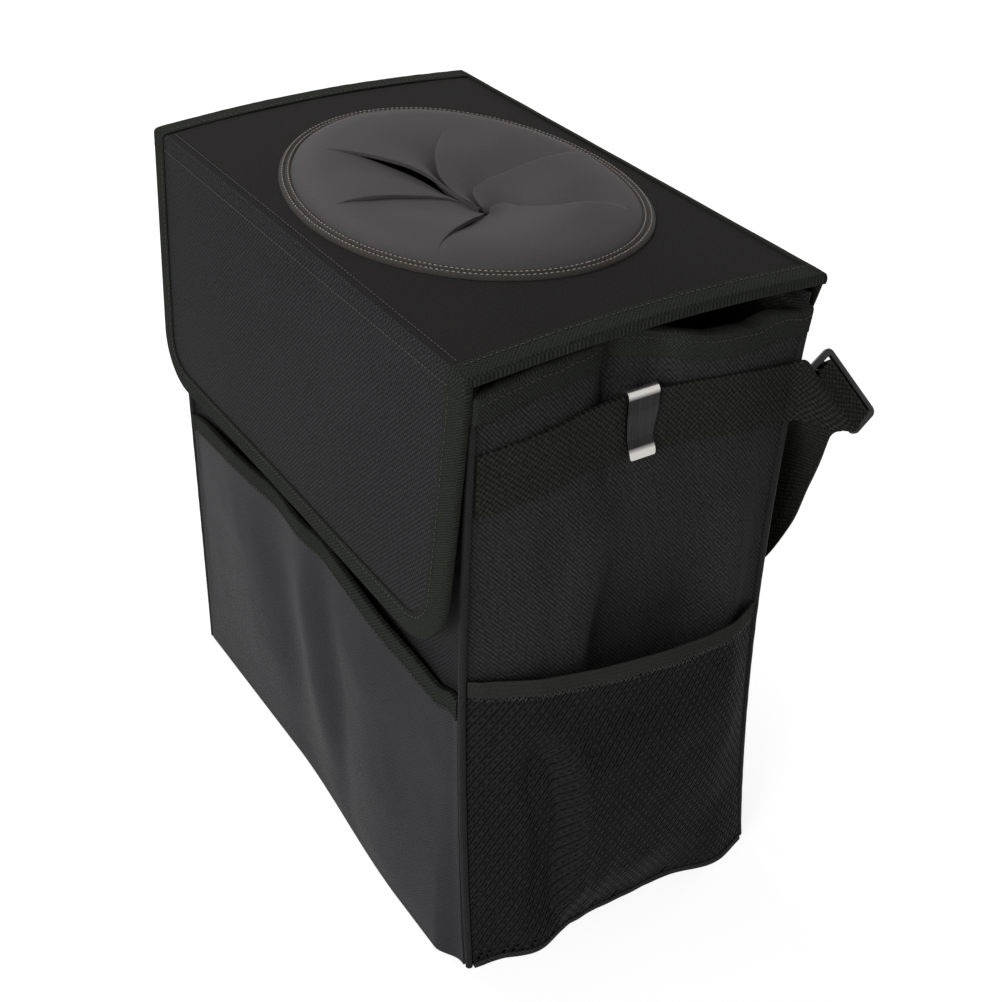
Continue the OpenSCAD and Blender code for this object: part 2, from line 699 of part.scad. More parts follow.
// Stitched ring round the opening: a grooved band on top and a leg down through the hole
module opening_ring() {
    gap = seat_gap / 3;
    leg = 1;
    // Section as distance out from the ring's outer edge and height above the lid
    section = [[0, gap], [-ring_w * 0.16, 1.4], [-ring_w * 0.42, 0.9],
        [-ring_w * 0.62, 1.6], [-hole_inset - gap - leg, 1],
        [-hole_inset - gap - leg, -stack_t], [-hole_inset - gap, -stack_t], [-hole_inset - gap, gap]];
    color("#2c2824")
    skin([for (i = [0:59]) let (a = -6 * i) [for (p = section)
        let (x = (ring_a + p[0]) * cos(a), y = (ring_b + p[0]) * sin(a))
        [x, y, lid_top + p[1] + crown(x, y)]]], closed = true);
}

// Angle of the outer end of each slit, and how far the slit swings round towards the middle
slit_ends = [-149, -96, -44, 53, 99, 151.5];
slit_swings = [-16, -14, 30, -24, 26, 18];
// Shares of the oval at which the sheet is shaped; the slits run from the first to slit_reach
slit_reach = 0.76;
insert_rings = [0.05, 0.16, 0.3, 0.45, 0.6, slit_reach, 0.88, 1];
// Place where the slits meet, beside the middle of the oval
slit_meet = [12, -3];

// Swelling of the sheet above the lid, from its sewn edge to the middle
function insert_height(r) =
    let (rim_part = dome_h * sqrt(max(0, 1 - pow((r - 0.8) / 0.2, 2))),
        bowl = dome_h - dome_dip * ease((0.8 - r) / 0.8))
    r > 0.8 ? rim_part : bowl;

// One rubber sheet cut by curved slits into petals that ride over each other
module slit_insert() {
    count = len(slit_ends);
    steps = 6;
    span = steps + 1;
    leg_in = hole_inset + 1 + seat_gap + 0.1;
    a_r = ring_a - leg_in;
    b_r = ring_b - leg_in;
    slit_turn = function (k, r) slit_ends[k % count] + (k >= count ? 360 : 0)
        + slit_swings[k % count] * pow(max(0, 1 - r / slit_reach), 1.2);
    petal_angle = function (k, j, r) let (
            half = slit_gap / 2 / (r * (a_r + b_r) / 2) * 180 / PI,
            a0 = slit_turn(k, r) + half, a1 = slit_turn(k + 1, r) - half)
        a0 + (a1 - a0) * j / steps;
    place = function (k, j, r, under) let (
            a = petal_angle(k, j, r),
            lift = petal_lift * max(0, 1 - r / slit_reach) * (2 * j / steps - 1),
            pull = pow(max(0, 1 - r), 1.5),
            x = a_r * r * cos(a) + slit_meet[0] * pull,
            y = b_r * r * sin(a) + slit_meet[1] * pull)
        [x, y, lid_top - 1 + insert_height(r) + crown(x, y) + lift - (under ? insert_t : 0)];
    n_rings = len(insert_rings);
    n_cols = count * span;
    n = n_rings * n_cols;
    reach_i = search(slit_reach, insert_rings)[0];
    is_slit = function (c) c % span == steps;
    points = [
        for (r = insert_rings, k = [0:count - 1], j = [0:steps]) place(k, j, r, false),
        for (r = insert_rings, k = [0:count - 1], j = [0:steps]) place(k, j, r, true)];
    at = function (i, c) i * n_cols + c % n_cols;
    // Upper and lower faces, left out inside the slits
    covers = [for (i = [0:n_rings - 2], c = [0:n_cols - 1]) if (!is_slit(c) || i >= reach_i)
        let (p = at(i, c), q = at(i + 1, c), s = at(i + 1, c + 1), t = at(i, c + 1)) each [
        [p, s, q], [p, t, s], [n + p, n + q, n + s], [n + p, n + s, n + t]]];
    // Cut faces along both sides of each slit
    cuts = [for (i = [0:reach_i - 1], c = [0:n_cols - 1]) if (is_slit(c))
        let (p = at(i, c), q = at(i + 1, c), s = at(i + 1, c + 1), t = at(i, c + 1)) each [
        [q, p, n + p], [q, n + p, n + q], [t, s, n + s], [t, n + s, n + t]]];
    slit_feet = [for (c = [0:n_cols - 1]) if (is_slit(c))
        let (p = at(reach_i, c), t = at(reach_i, c + 1)) each [[p, n + t, t], [p, n + p, n + t]]];
    tips = [for (c = [0:n_cols - 1]) if (!is_slit(c))
        let (p = at(0, c), t = at(0, c + 1)) each [[p, n + t, t], [p, n + p, n + t]]];
    hem = [for (c = [0:n_cols - 1])
        let (p = at(n_rings - 1, c), t = at(n_rings - 1, c + 1)) each [
        [p, t, n + t], [p, n + t, n + p]]];
    color("#3c3a3c")
    polyhedron(points, [each covers, each cuts, each slit_feet, each tips, each hem]);
}

// Fabric strip sewn to the back panel, which rolls up to the back edge of the lid
module hinge_tape() {
    bead_r = 1.7;
    bead_y = bin_d / 2 + 3.2;
    bead_z = lid_under - bead_r - 1;
    low_z = rim_h - tape_w - 14;
    y0 = bin_d / 2;
    half_x = rim_w / 2 - piping_r - seat_gap;
    color("#1c1c1e")
    translate([-half_x, 0, 0])
    rotate([90, 0, 90])
    linear_extrude(height = 2 * half_x)
    union() {
        polygon([[y0, low_z], [y0 + fabric_t, low_z], [y0 + fabric_t, binding_z - 4],
            [bead_y + 0.6, bead_z], [bead_y - 0.6, bead_z], [y0 + 1.4, binding_z - 1.5],
            [y0, binding_z - 4]]);
        translate([bead_y, bead_z])
        circle(r = bead_r, $fn = 24);
    }
}

// Front flap, hung from the fold at the front of the lid

// Flap outline with rounded lower corners, inset by a distance; the fold is along X at the top
module flap_outline(inset, top) {
    w = lid_w - 2 * inset;
    r = flap_corner_r - inset;
    hull() {
        translate([-w / 2, top - 1])
        square([w, 1]);
        for (s = [-1, 1])
            translate([s * (w / 2 - flap_narrowing - r), -flap_h + inset + r])
            circle(r = r, $fn = 64);
    }
}

// Layer of the flap between two distances from the middle of its stack, outwards positive
module flap_slab(from, to, inset, top) {
    translate([0, fold_y, fold_z])
    rotate([90 - flap_tilt, 0, 0])
    translate([0, 0, from])
    linear_extrude(height = to - from)
    flap_outline(inset, top);
}

flap_out = stack_t / 2;
flap_edge = tape_t + seat_gap / 3;
flap_top = -fold_r;

module flap_panel() {
    reach = fold_r + 2;
    color("#2a2a2e")
    intersection() {
        flap_slab(-reach, reach, flap_edge, reach);
        // Side view of the fabric: its turn over the front of the lid and its hanging sheet
        translate([-lid_w / 2, fold_y, fold_z])
        rotate([90, 0, 90])
        linear_extrude(height = lid_w)
        rotate(-flap_tilt)
        union() {
            circle(r = fold_r, $fn = 32);
            translate([-flap_out, -flap_h - 1])
            square([fabric_t, flap_h + 1]);
        }
    }
}

module flap_board() {
    color("#303034")
    flap_slab(flap_out - fabric_t - lid_board_t, flap_out - fabric_t, flap_edge, flap_top - seat_gap);
}

module flap_lining() {
    color("#18181a")
    flap_slab(-flap_out, -flap_out + lining_t, flap_edge, flap_top - seat_gap);
}

// Tape folded round the free edges of the flap
module flap_binding() {
    gap = seat_gap / 3;
    color("#1c1e1c")
    difference() {
        flap_slab(-flap_out - gap - tape_t, flap_out + gap + tape_t, 0, flap_top - gap - tape_t - seat_gap);
        flap_slab(-flap_out - gap, flap_out + gap, tape_t, flap_top + 1);
        flap_slab(-flap_out - 2, flap_out + 2, tape_w, flap_top + 1);
    }
}

module hook_tape() {
    drop = fold_z - closure_z - closure_size[1];
    color("#202022")
    translate([0, fold_y, fold_z])
    rotate([90 - flap_tilt, 0, 0])
    translate([-closure_size[0] / 2, -drop - closure_size[1], -flap_out - closure_t])
    cube([closure_size[0], closure_size[1], closure_t]);
}

base_panel();
front_panel();
back_panel();
side_panel_right();
side_panel_left();
base_board();
front_board();
back_board();
liner();
rim_binding();
corner_piping_front_right();
corner_piping_front_left();
corner_piping_back_right();
corner_piping_back_left();
front_pocket();
front_pocket_binding();
mesh_pocket_right();
mesh_pocket_left();
mesh_elastic_right();
mesh_elastic_left();
loop_tape();
hinge_tape();
side_webbing_right();
hanging_strap();
strap_slider();
bag_clip_right();
bag_clip_left();
lid_panel();
lid_board();
lid_lining();
lid_binding_right();
lid_binding_left();
opening_ring();
slit_insert();
flap_panel();
flap_board();
flap_lining();
flap_binding();
hook_tape();
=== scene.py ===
import math
import bmesh
import bpy
from mathutils import Matrix, Vector, noise


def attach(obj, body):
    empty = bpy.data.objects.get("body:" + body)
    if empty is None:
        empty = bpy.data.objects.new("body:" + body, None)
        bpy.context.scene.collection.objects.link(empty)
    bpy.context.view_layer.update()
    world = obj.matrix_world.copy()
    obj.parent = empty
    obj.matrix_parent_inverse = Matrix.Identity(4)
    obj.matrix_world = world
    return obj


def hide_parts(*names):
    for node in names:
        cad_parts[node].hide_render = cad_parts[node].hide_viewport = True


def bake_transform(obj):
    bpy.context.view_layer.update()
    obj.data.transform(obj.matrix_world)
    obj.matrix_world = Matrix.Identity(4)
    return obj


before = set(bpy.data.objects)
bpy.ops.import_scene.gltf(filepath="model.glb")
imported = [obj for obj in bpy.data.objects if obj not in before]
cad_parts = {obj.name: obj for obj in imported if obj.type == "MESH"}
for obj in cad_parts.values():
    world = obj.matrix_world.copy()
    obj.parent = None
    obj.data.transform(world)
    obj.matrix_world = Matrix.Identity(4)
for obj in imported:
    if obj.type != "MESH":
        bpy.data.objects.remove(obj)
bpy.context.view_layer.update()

# Front, back and base of the bag: coated oxford cloth over stiff boards, cut as flat panels and
# sewn together at the corners. Shapes are worked out in millimetres until a mesh is made.
mm = 0.001
base_half_w = 142
rim_h = 303
half_d = 80
cloth_t = 1.2


def half_w(z):
    """Half the width of the bag at a height: it narrows a little to its rim."""
    return base_half_w - 3 * z / rim_h


def ease(t):
    t = min(1, max(0, t))
    return t * t * (3 - 2 * t)


def hump(t, width):
    return math.exp(-(t / width) ** 2)


def crumple(a, b, size, seed):
    return noise.noise(Vector((a / size, b / size, seed)))


def bowed(x, y, z):
    """Draw the upright corners of the bag in between base and rim: the back ones most."""
    near = ease((abs(y) - 48) / 32) * math.sin(math.pi * min(1, max(0, z / rim_h))) ** 0.8
    past_board = ease((abs(x) - 132) / 10)
    pull_in = 5 * near * ease((abs(x) - 112) / 30)
    pull_over = (5 if y > 0 else 1.5) * near * past_board
    return x - math.copysign(pull_in, x), y - pull_over, z


def front_swell(x, z):
    """How far the foot of the front pocket rests out over the floor, most near its right end."""
    return 6.5 * ease((x + 30) / 120) * (1 - 0.95 * ease((x - 124) / 14)) * (1 - ease((z - 8) / 90))


def side_swell(y, z):
    """How far the foot of a mesh pocket rests out over the floor."""
    return (7 * hump(y + 47, 15) + 6.5 * hump(y - 57, 16)) * (1 - ease((z - 4) / 40))


def node(tree, kind, *inputs, **settings):
    """Add a shader node, set it up and give its inputs their values or links in order."""
    new = tree.nodes.new(kind)
    for name, value in settings.items():
        setattr(new, name, value)
    for socket, value in zip(new.inputs, inputs):
        if isinstance(value, bpy.types.NodeSocket):
            tree.links.new(value, socket)
        elif value is not None:
            socket.default_value = value
    return new


def calc(tree, operation, *values):
    return node(tree, "ShaderNodeMath", *values, operation=operation).outputs[0]


def effect(name, inputs, outputs):
    """Start a node group for an effect that several finishes share."""
    group = bpy.data.node_groups.new(name, "ShaderNodeTree")
    for socket, kind, value in inputs:
        made = group.interface.new_socket(socket, in_out="INPUT", socket_type=kind)
        if value is not None:
            made.default_value = value
    for socket in outputs:
        group.interface.new_socket(socket, in_out="OUTPUT", socket_type="NodeSocketFloat")
    return group, group.nodes.new("NodeGroupInput"), group.nodes.new("NodeGroupOutput")


# Threads over and under each other, or in diagonal twill lines, on cloth coordinates in metres
woven, given, result = effect("Woven threads", [("Cloth", "NodeSocketVector", None),
    ("Pitch", "NodeSocketFloat", 0.001), ("Twill", "NodeSocketFloat", 0.0)], ["Height", "Tint"])
across_up = node(woven, "ShaderNodeSeparateXYZ", given.outputs["Cloth"])
a = calc(woven, "DIVIDE", across_up.outputs[0], given.outputs["Pitch"])
b = calc(woven, "DIVIDE", across_up.outputs[1], given.outputs["Pitch"])
plain = calc(woven, "MULTIPLY", calc(woven, "SINE", calc(woven, "MULTIPLY", a, math.pi)),
    calc(woven, "SINE", calc(woven, "MULTIPLY", b, math.pi)))
slope = calc(woven, "ADD", a, calc(woven, "MULTIPLY", b, 0.8))
slant = calc(woven, "SINE", calc(woven, "MULTIPLY", slope, math.pi * 1.4))
mixed = node(woven, "ShaderNodeMix", given.outputs["Twill"], None, plain, slant, data_type="FLOAT")
woven.links.new(calc(woven, "MULTIPLY_ADD", mixed.outputs[0], 0.5, 0.5), result.inputs["Height"])
fine = node(woven, "ShaderNodeTexNoise", noise_dimensions="2D")
woven.links.new(node(woven, "ShaderNodeCombineXYZ", a, b).outputs[0], fine.inputs["Vector"])
fine.inputs["Scale"].default_value = 0.9
fine.inputs["Detail"].default_value = 1
woven.links.new(fine.outputs[0], result.inputs["Tint"])

# Soft blotches where cloth has been handled, folded and dusted, on object coordinates
handled, given, result = effect("Handled cloth", [("Size", "NodeSocketFloat", 18.0)], ["Blotch"])
broad = node(handled, "ShaderNodeTexNoise", node(handled, "ShaderNodeTexCoord").outputs["Object"])
handled.links.new(given.outputs["Size"], broad.inputs["Scale"])
broad.inputs["Detail"].default_value = 3
handled.links.new(broad.outputs[0], result.inputs["Blotch"])


def start_finish(name, shine=None, rough=None):
    """Start a material and return it with its node tree and its surface."""
    made = bpy.data.materials.new(name)
    made.use_nodes = True
    surface = made.node_tree.nodes["Principled BSDF"]
    if shine is not None:
        surface.inputs["Specular IOR Level"].default_value = shine
    if rough is not None:
        surface.inputs["Roughness"].default_value = rough
    return made, made.node_tree, surface


def two_tones(tree, surface, amount, dark, light):
    """Colour a surface between two tones by an amount, and return that colour."""
    tone = node(tree, "ShaderNodeMix", data_type="RGBA", clamp_factor=True)
    tree.links.new(amount, tone.inputs[0])
    tone.inputs[6].default_value = (*dark, 1)
    tone.inputs[7].default_value = (*light, 1)
    tree.links.new(tone.outputs[2], surface.inputs["Base Color"])
    return tone.outputs[2]


def object_noise(tree, scale):
    """Fine noise fixed to the object."""
    made = node(tree, "ShaderNodeTexNoise", node(tree, "ShaderNodeTexCoord").outputs["Object"])
    made.inputs["Scale"].default_value = scale
    return made.outputs[0]


def blotches(tree, size=None):
    """The soft blotches of handled cloth, at their own scale or another."""
    worn = node(tree, "ShaderNodeGroup", node_tree=handled)
    if size is not None:
        worn.inputs["Size"].default_value = size
    return worn.outputs["Blotch"]


def emboss(tree, surface, height, depth, strength):
    """Give a surface the relief of a height pattern, its depth in millimetres."""
    bump = node(tree, "ShaderNodeBump")
    bump.inputs["Strength"].default_value = strength
    bump.inputs["Distance"].default_value = depth * mm
    tree.links.new(height, bump.inputs["Height"])
    tree.links.new(bump.outputs[0], surface.inputs["Normal"])


def cloth_finish(name, dark, light, rough, pitch, relief, twill=0.0, shine=0.01):
    """A woven finish: its thread colours, roughness, thread pitch and relief in millimetres."""
    made, tree, surface = start_finish(name, shine)
    threads = node(tree, "ShaderNodeGroup", node_tree=woven)
    tree.links.new(node(tree, "ShaderNodeUVMap", uv_map="Cloth").outputs[0], threads.inputs["Cloth"])
    threads.inputs["Pitch"].default_value = pitch * mm
    threads.inputs["Twill"].default_value = twill
    blotch = blotches(tree)
    tint = calc(tree, "MULTIPLY", threads.outputs["Tint"], 1.5)
    weave = calc(tree, "MULTIPLY", threads.outputs["Height"], tint)
    two_tones(tree, surface, calc(tree, "MULTIPLY_ADD", blotch, 0.35, weave), dark, light)
    tree.links.new(calc(tree, "MULTIPLY_ADD", blotch, 0.16, rough - 0.08), surface.inputs["Roughness"])
    emboss(tree, surface, threads.outputs["Height"], relief, 0.7)
    return made


def cloth_sheet(across, up, place, thick=0.0, outward=None):
    """Lay a flat grid where place says, face it outwards and give it thickness behind.
    place takes u from -1 to 1 and v from 0 to 1; it returns a point and its spot on the cloth."""
    bm = bmesh.new()
    bmesh.ops.create_grid(bm, x_segments=across, y_segments=up, size=1)
    layer = bm.loops.layers.uv.new("Cloth")
    spots = {}
    for v in bm.verts:
        point, spots[v] = place(v.co.x, (v.co.y + 1) / 2)
        v.co = Vector(point) * mm
    for face in bm.faces:
        for loop in face.loops:
            loop[layer].uv = Vector(spots[loop.vert]) * mm
    if outward is None:
        bmesh.ops.remove_doubles(bm, verts=bm.verts[:], dist=0.00001)
        bmesh.ops.dissolve_degenerate(bm, edges=bm.edges[:], dist=0.00001)
        bmesh.ops.recalc_face_normals(bm, faces=bm.faces[:])
    else:
        bm.normal_update()
        facing = sum((f.normal * f.calc_area() for f in bm.faces), Vector())
        if facing.dot(Vector(outward)) < 0:
            bmesh.ops.reverse_faces(bm, faces=bm.faces[:])
    if thick:
        bmesh.ops.solidify(bm, geom=bm.faces[:], thickness=thick * mm)
        bmesh.ops.recalc_face_normals(bm, faces=bm.faces[:])
    return bm


def sewn_piece(bm, name, finish, sharp=42):
    """Turn a bmesh into a named piece with its finish, smooth apart from its sharp edges."""
    mesh = bpy.data.meshes.new(name)
    bm.to_mesh(mesh)
    bm.free()
    mesh.polygons.foreach_set("use_smooth", [True] * len(mesh.polygons))
    mesh.set_sharp_from_angle(angle=math.radians(sharp))
    mesh.materials.append(finish)
    piece = bpy.data.objects.new(name, mesh)
    bpy.context.scene.collection.objects.link(piece)
    return piece


oxford = cloth_finish("Coated oxford", (0.005, 0.0049, 0.0052), (0.03, 0.029, 0.031), 0.6, 1.1, 0.2,
    shine=0.02)


def front_place(u, v):
    z = 0.6 + (rim_h - 0.6) * v
    x = u * (half_w(z) - 0.4)
    sag = 1.4 * math.cos(u * 1.5) * crumple(x, z, 70, 3.1)
    pucker = 1.6 * hump(u - 0.9, 0.1) * math.sin(z / 7 + 1.5 * crumple(x, z, 12, 1)) * hump(z - 165, 26)
    rounding = 0.8 * (1 - ease(z / 4))
    return bowed(x, -half_d + rounding - sag * math.cos(u * 1.57) - 0.5 * pucker, z), (x, z)


bag_front = sewn_piece(cloth_sheet(80, 84, front_place, cloth_t, (0, -1, 0)), "bag_front", oxford)
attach(bag_front, "bin")
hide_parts("front_panel")


def back_place(u, v):
    z = 0.6 + (rim_h - 0.6) * v
    x = u * (half_w(z) - 0.4)
    sag = 2.2 * crumple(x, z, 80, 8.4) + 0.5 * crumple(x, z, 22, 4.4)
    rounding = 0.8 * (1 - ease(z / 4))
    return bowed(x, half_d - rounding + sag * math.cos(u * 1.57) * math.sin(v * 3.14), z), (x, z)


bag_back = sewn_piece(cloth_sheet(80, 84, back_place, cloth_t, (0, 1, 0)), "bag_back", oxford)
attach(bag_back, "bin")
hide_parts("back_panel")


def base_place(u, v):
    x, y = u * base_half_w, (2 * v - 1) * half_d
    edge = min(base_half_w - abs(x), half_d - abs(y))
    lift = 0.9 * (1 - ease(edge / 3)) + 0.35 * (1 + crumple(x, y, 30, 6)) * ease(edge / 25)
    out_y = -front_swell(x, 0) * ease((-60 - y) / 20) if y < 0 else 0
    out_x = math.copysign(side_swell(y, 0) * ease((abs(x) - 120) / 22), x)
    return (x + out_x, y + out_y, lift), (x, y)


bag_base = sewn_piece(cloth_sheet(90, 60, base_place, cloth_t, (0, 0, -1)), "bag_base", oxford)
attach(bag_base, "bin")
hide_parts("base_panel")

# Stiffening boards: plain plastic sheets slipped between the cloth and the liner in the front,
# back and base, and inside the lid and the flap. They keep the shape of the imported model.
board_finish, tree, surface = start_finish("Stiffening board", rough=0.6)
two_tones(tree, surface, object_noise(tree, 260), (0.026, 0.026, 0.028), (0.036, 0.036, 0.038))
for board in ("base_board", "front_board", "back_board", "lid_board", "flap_board"):
    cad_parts[board].data.materials.clear()
    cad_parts[board].data.materials.append(board_finish)

# Sides of the bag: soft oxford twill with no board. Each folds in along its middle when the bag is
# put away, so it keeps a sharp crease under the rim and a slack hollow behind a soft ridge.
twill = cloth_finish("Oxford twill", (0.004, 0.0039, 0.0042), (0.04, 0.039, 0.041), 0.62, 1.25, 0.3,
    twill=0.55, shine=0.02)


def fold_in(y, z):
    """How far a side wall lies inside the line between its corners."""
    edge = ease((half_d - abs(y)) / 16)
    high = ease((z - 215) / 60)
    crease = (6.5 * math.exp(-abs(y + 15) / 8) + 4.2 * hump(y + 8, 34)) * high
    ridge_y = -15 - 11 * ease((262 - z) / 115)
    hollow = ease((y - ridge_y) / 13) * (1 - ease((y - 22) / 40))
    low = ease((z - 4) / 130) * (1 - high)
    slack = (3.0 + 8.5 * ease((235 - z) / 90)) * hollow * low
    dent = 5 * hump(y - 41, 12) * hump(z - 158, 34) - 2.2 * hump(y - 61, 9) * hump(z - 170, 40)
    ripple = 0.8 * crumple(y, z, 26, 2.2) + 0.35 * crumple(y, z, 9, 5.2)
    ripple -= 1.4 * hump(y - ridge_y + 6, 9) * low
    # Behind the bag clip the rim leans in, to leave room for the clip to be pulled up.
    clip_room = 4.9 * (1 - ease((abs(y + 2) - 8.5) / 12)) * ease((z - 266) / 20)
    return edge * (crease + slack + dent + ripple + clip_room)


def rim_dip(y):
    """How far the rim sinks along a side: most in the slack rear half, a little at the front corner."""
    t = y / half_d
    slack = 8.5 * ease((t + 0.15) / 0.65) + 3.6 * ease((-t - 0.6) / 0.4)
    return slack + (1.6 + 1.2 * ease(t / 0.4)) * crumple(y, 0, 14, 3) - 1.8 * hump(t + 0.19, 0.06)


def side_place(u, v):
    y = u * (half_d - 0.6)
    z = 0.8 + (rim_h - 1.2 - rim_dip(y) - 0.8) * v
    rounding = 0.9 * (1 - ease(z / 5))
    return bowed(half_w(z) - rounding - fold_in(y, z), y, z), (y, z)


both_sides = ((1, "right"), (-1, "left"))


def on_side(side, place):
    """Turn the placing of a right hand piece into that of the piece on a given side."""
    def placed(u, v):
        (x, y, z), spot = place(u, v)
        return (side * x, y, z), spot
    return placed


for side, name in both_sides:
    bm = cloth_sheet(120, 126, on_side(side, side_place), cloth_t, (side, 0, 0))
    bag_side = sewn_piece(bm, "bag_side_" + name, twill)
    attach(bag_side, "bin")
    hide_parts("side_panel_" + name)

# Corner piping: a cord covered with a bias strip, sewn into each upright corner from the base to
# the binding of the rim.
piping_finish = cloth_finish("Piping cover", (0.006, 0.006, 0.0065), (0.024, 0.0235, 0.024), 0.5, 0.8, 0.1,
    shine=0.04)
bag_corners = ((1, -1, "front_right"), (-1, -1, "front_left"), (1, 1, "back_right"), (-1, 1, "back_left"))
for side, front, name in bag_corners:
    def piping_place(u, v):
        z = 1 + 295 * v
        r = (1.75 + 0.12 * crumple(z, 0, 7, side + 2 * front)) * (1 - 0.45 * ease((z - 284) / 8))
        x, y, z = bowed(half_w(z) + 0.1, front * (half_d + 0.1), z)
        return (side * (x + r * math.cos(u * math.pi)), y + r * math.sin(u * math.pi), z), (u * 5.5, z)
    bm = cloth_sheet(14, 150, piping_place)
    bmesh.ops.holes_fill(bm, edges=[e for e in bm.edges if e.is_boundary])
    bmesh.ops.recalc_face_normals(bm, faces=bm.faces[:])
    piping = sewn_piece(bm, "piping_" + name, piping_finish)
    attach(piping, "bin")
    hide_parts("corner_piping_" + name)

# Liner: a waterproof film bag, welded and hung from the rim, which creases a little where it
# meets the base.
film, tree, surface = start_finish("Liner film", 0.2)
worn = blotches(tree, 30)
two_tones(tree, surface, worn, (0.007, 0.007, 0.008), (0.016, 0.016, 0.018))
tree.links.new(calc(tree, "MULTIPLY_ADD", worn, 0.25, 0.25), surface.inputs["Roughness"])


def plan_point(u, inset_side, inset_end, z):
    """A point on the bag's outline at a height, for u from -1 to 1 all the way round."""
    turn = (u + 1) * 2
    leg, t = int(turn) % 4, 2 * (turn % 1) - 1
    x, y = half_w(z) - inset_side, half_d - inset_end
    if leg % 2:
        x, y = (-t * x, y) if leg == 1 else (t * x, -y)
    else:
        y *= t if leg == 0 else -t
        x = (x - fold_in(y, z)) * (1 if leg == 0 else -1)
    return bowed(x, y, z)[:2]


def liner_place(u, v):
    z = 4.6 + (292 if 0.25 < (u + 1) % 1 < 1 else 288) * (1 - v)
    x, y = plan_point(u, 3.6, 4.3, max(z, 12))
    ruffle = 0.4 * crumple(x, z, 25, 7) * ease(v * 5) + 0.4
    return (x - math.copysign(ruffle, x), y - math.copysign(ruffle, y), z), (x + y, z)


bm = cloth_sheet(160, 70, liner_place)
foot = min(v.co.z for v in bm.verts) + 0.1 * mm
bmesh.ops.holes_fill(bm, edges=[e for e in bm.edges if e.is_boundary and e.verts[0].co.z < foot])
bmesh.ops.recalc_face_normals(bm, faces=bm.faces[:])
bmesh.ops.reverse_faces(bm, faces=bm.faces[:])
bmesh.ops.solidify(bm, geom=bm.faces[:], thickness=0.5 * mm)
bmesh.ops.recalc_face_normals(bm, faces=bm.faces[:])
liner = sewn_piece(bm, "liner_bag", film)
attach(liner, "bin")
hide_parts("liner")

# Rim binding: ribbed tape folded over the raw top edges of the cloth and the liner and sewn with
# one line of stitches. It dips and waves where the sides are slack.
tape_finish = cloth_finish("Binding tape", (0.006, 0.007, 0.0055), (0.033, 0.035, 0.03), 0.7, 0.9, 0.2)
thread_finish, tree, surface = start_finish("Stitching thread", 0.3, 0.55)
two_tones(tree, surface, object_noise(tree, 1500), (0.008, 0.008, 0.008), (0.036, 0.035, 0.033))


def stitch_row(bm, points, outs, pitch=2.7, length=1.9, width=0.5, rise=0.12):
    """Lay stitches along a line of points in millimetres, each with the direction off the cloth."""
    travelled, due = 0.0, pitch / 2
    for i in range(len(points) - 1):
        start, end = Vector(points[i]), Vector(points[i + 1])
        step = (end - start).length
        while step > 0 and due <= travelled + step:
            spot = start.lerp(end, (due - travelled) / step)
            along = (end - start).normalized()
            off = Vector(outs[i]).normalized()
            beside = off.cross(along).normalized()
            off = along.cross(beside)
            turn = Matrix((along * length / 2, beside * width / 2, off * width * 0.45)).transposed().to_4x4()
            place = Matrix.Translation((spot + off * rise) * mm) @ Matrix.Scale(mm, 4) @ turn
            bmesh.ops.create_uvsphere(bm, u_segments=6, v_segments=4, radius=1,
                matrix=place @ Matrix.Rotation(math.pi / 2, 4, "Y"))
            due += pitch
        travelled += step


def fold_profile(v, width, gap, end_t):
    """Section of a tape folded over an edge: distance in from the edge and offset, outer side first."""
    bend = math.pi * gap / 2
    total = 2 * width + bend
    run = v * total
    if run < width:
        return width - run, gap / 2
    if run < width + bend:
        a = (run - width) / bend * math.pi
        return -math.sin(a) * gap / 2 * end_t, math.cos(a) * gap / 2
    return run - width - bend, -gap / 2


def rim_drop(u):
    """How far the rim sinks at a place round the bag, for u from -1 to 1 all the way round."""
    turn = (u + 1) * 2
    leg, t = int(turn) % 4, 2 * (turn % 1) - 1
    if leg % 2 == 0:
        return rim_dip(half_d * (t if leg == 0 else -t))
    return 3.5 + 5 * t ** 8 if leg == 1 else 0.3 + 3.3 * t ** 10


def rim_place(u, v):
    run, off = fold_profile(v, 10.4, 5.4, 0.45)
    z = 304.6 - run - rim_drop(u)
    x, y = plan_point(u, 1.4 - off, 1.6 - off, min(z, 303))
    pressed = 0
    if off < 0:
        x -= math.copysign(0.9 * -off / 2.7, x)
        y -= math.copysign(1.0 * -off / 2.7, y)
    elif abs(x) > 110:
        pressed = 1.1 * (1 - ease((abs(y + 2) - 8.5) / 8))
    wave = 0.35 * crumple(u * 900, run, 9, 12) - pressed
    return (x + math.copysign(wave, x), y + math.copysign(wave * 0.5, y), z), (u * 440, run)


def thicken(piece, thickness, offset):
    """Give a tape or a sheet its thickness in millimetres, to one side or both."""
    solid = piece.modifiers.new("Thickness", "SOLIDIFY")
    solid.thickness = thickness * mm
    solid.offset = offset


bm = cloth_sheet(220, 26, rim_place)
rim = sewn_piece(bm, "rim_tape", tape_finish)
thicken(rim, 0.6, 1)
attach(rim, "bin")
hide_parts("rim_binding")
bm = bmesh.new()
line, outs = [], []
for i in range(221):
    u = -1 + 2 * i / 220
    (x, y, z), _ = rim_place(min(u, 0.9999), 0.28)
    line.append((x, y, z))
    outs.append((math.copysign(1, x), 0, 0) if abs(y) < 79 else (0, math.copysign(1, y), 0))
stitch_row(bm, line, outs, rise=0.75)
rim_stitches = sewn_piece(bm, "rim_stitches", thread_finish)
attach(rim_stitches, "bin")

# Front pocket: one sheet of smoother, shinier coated cloth sewn to the corners and the base, slack
# along its top. Its mouth is bound with folded tape.
pocket_finish = cloth_finish("Pocket cloth", (0.014, 0.0136, 0.0148), (0.042, 0.0405, 0.044), 0.48, 0.75,
    0.1, shine=0.025)
pocket_top = 172


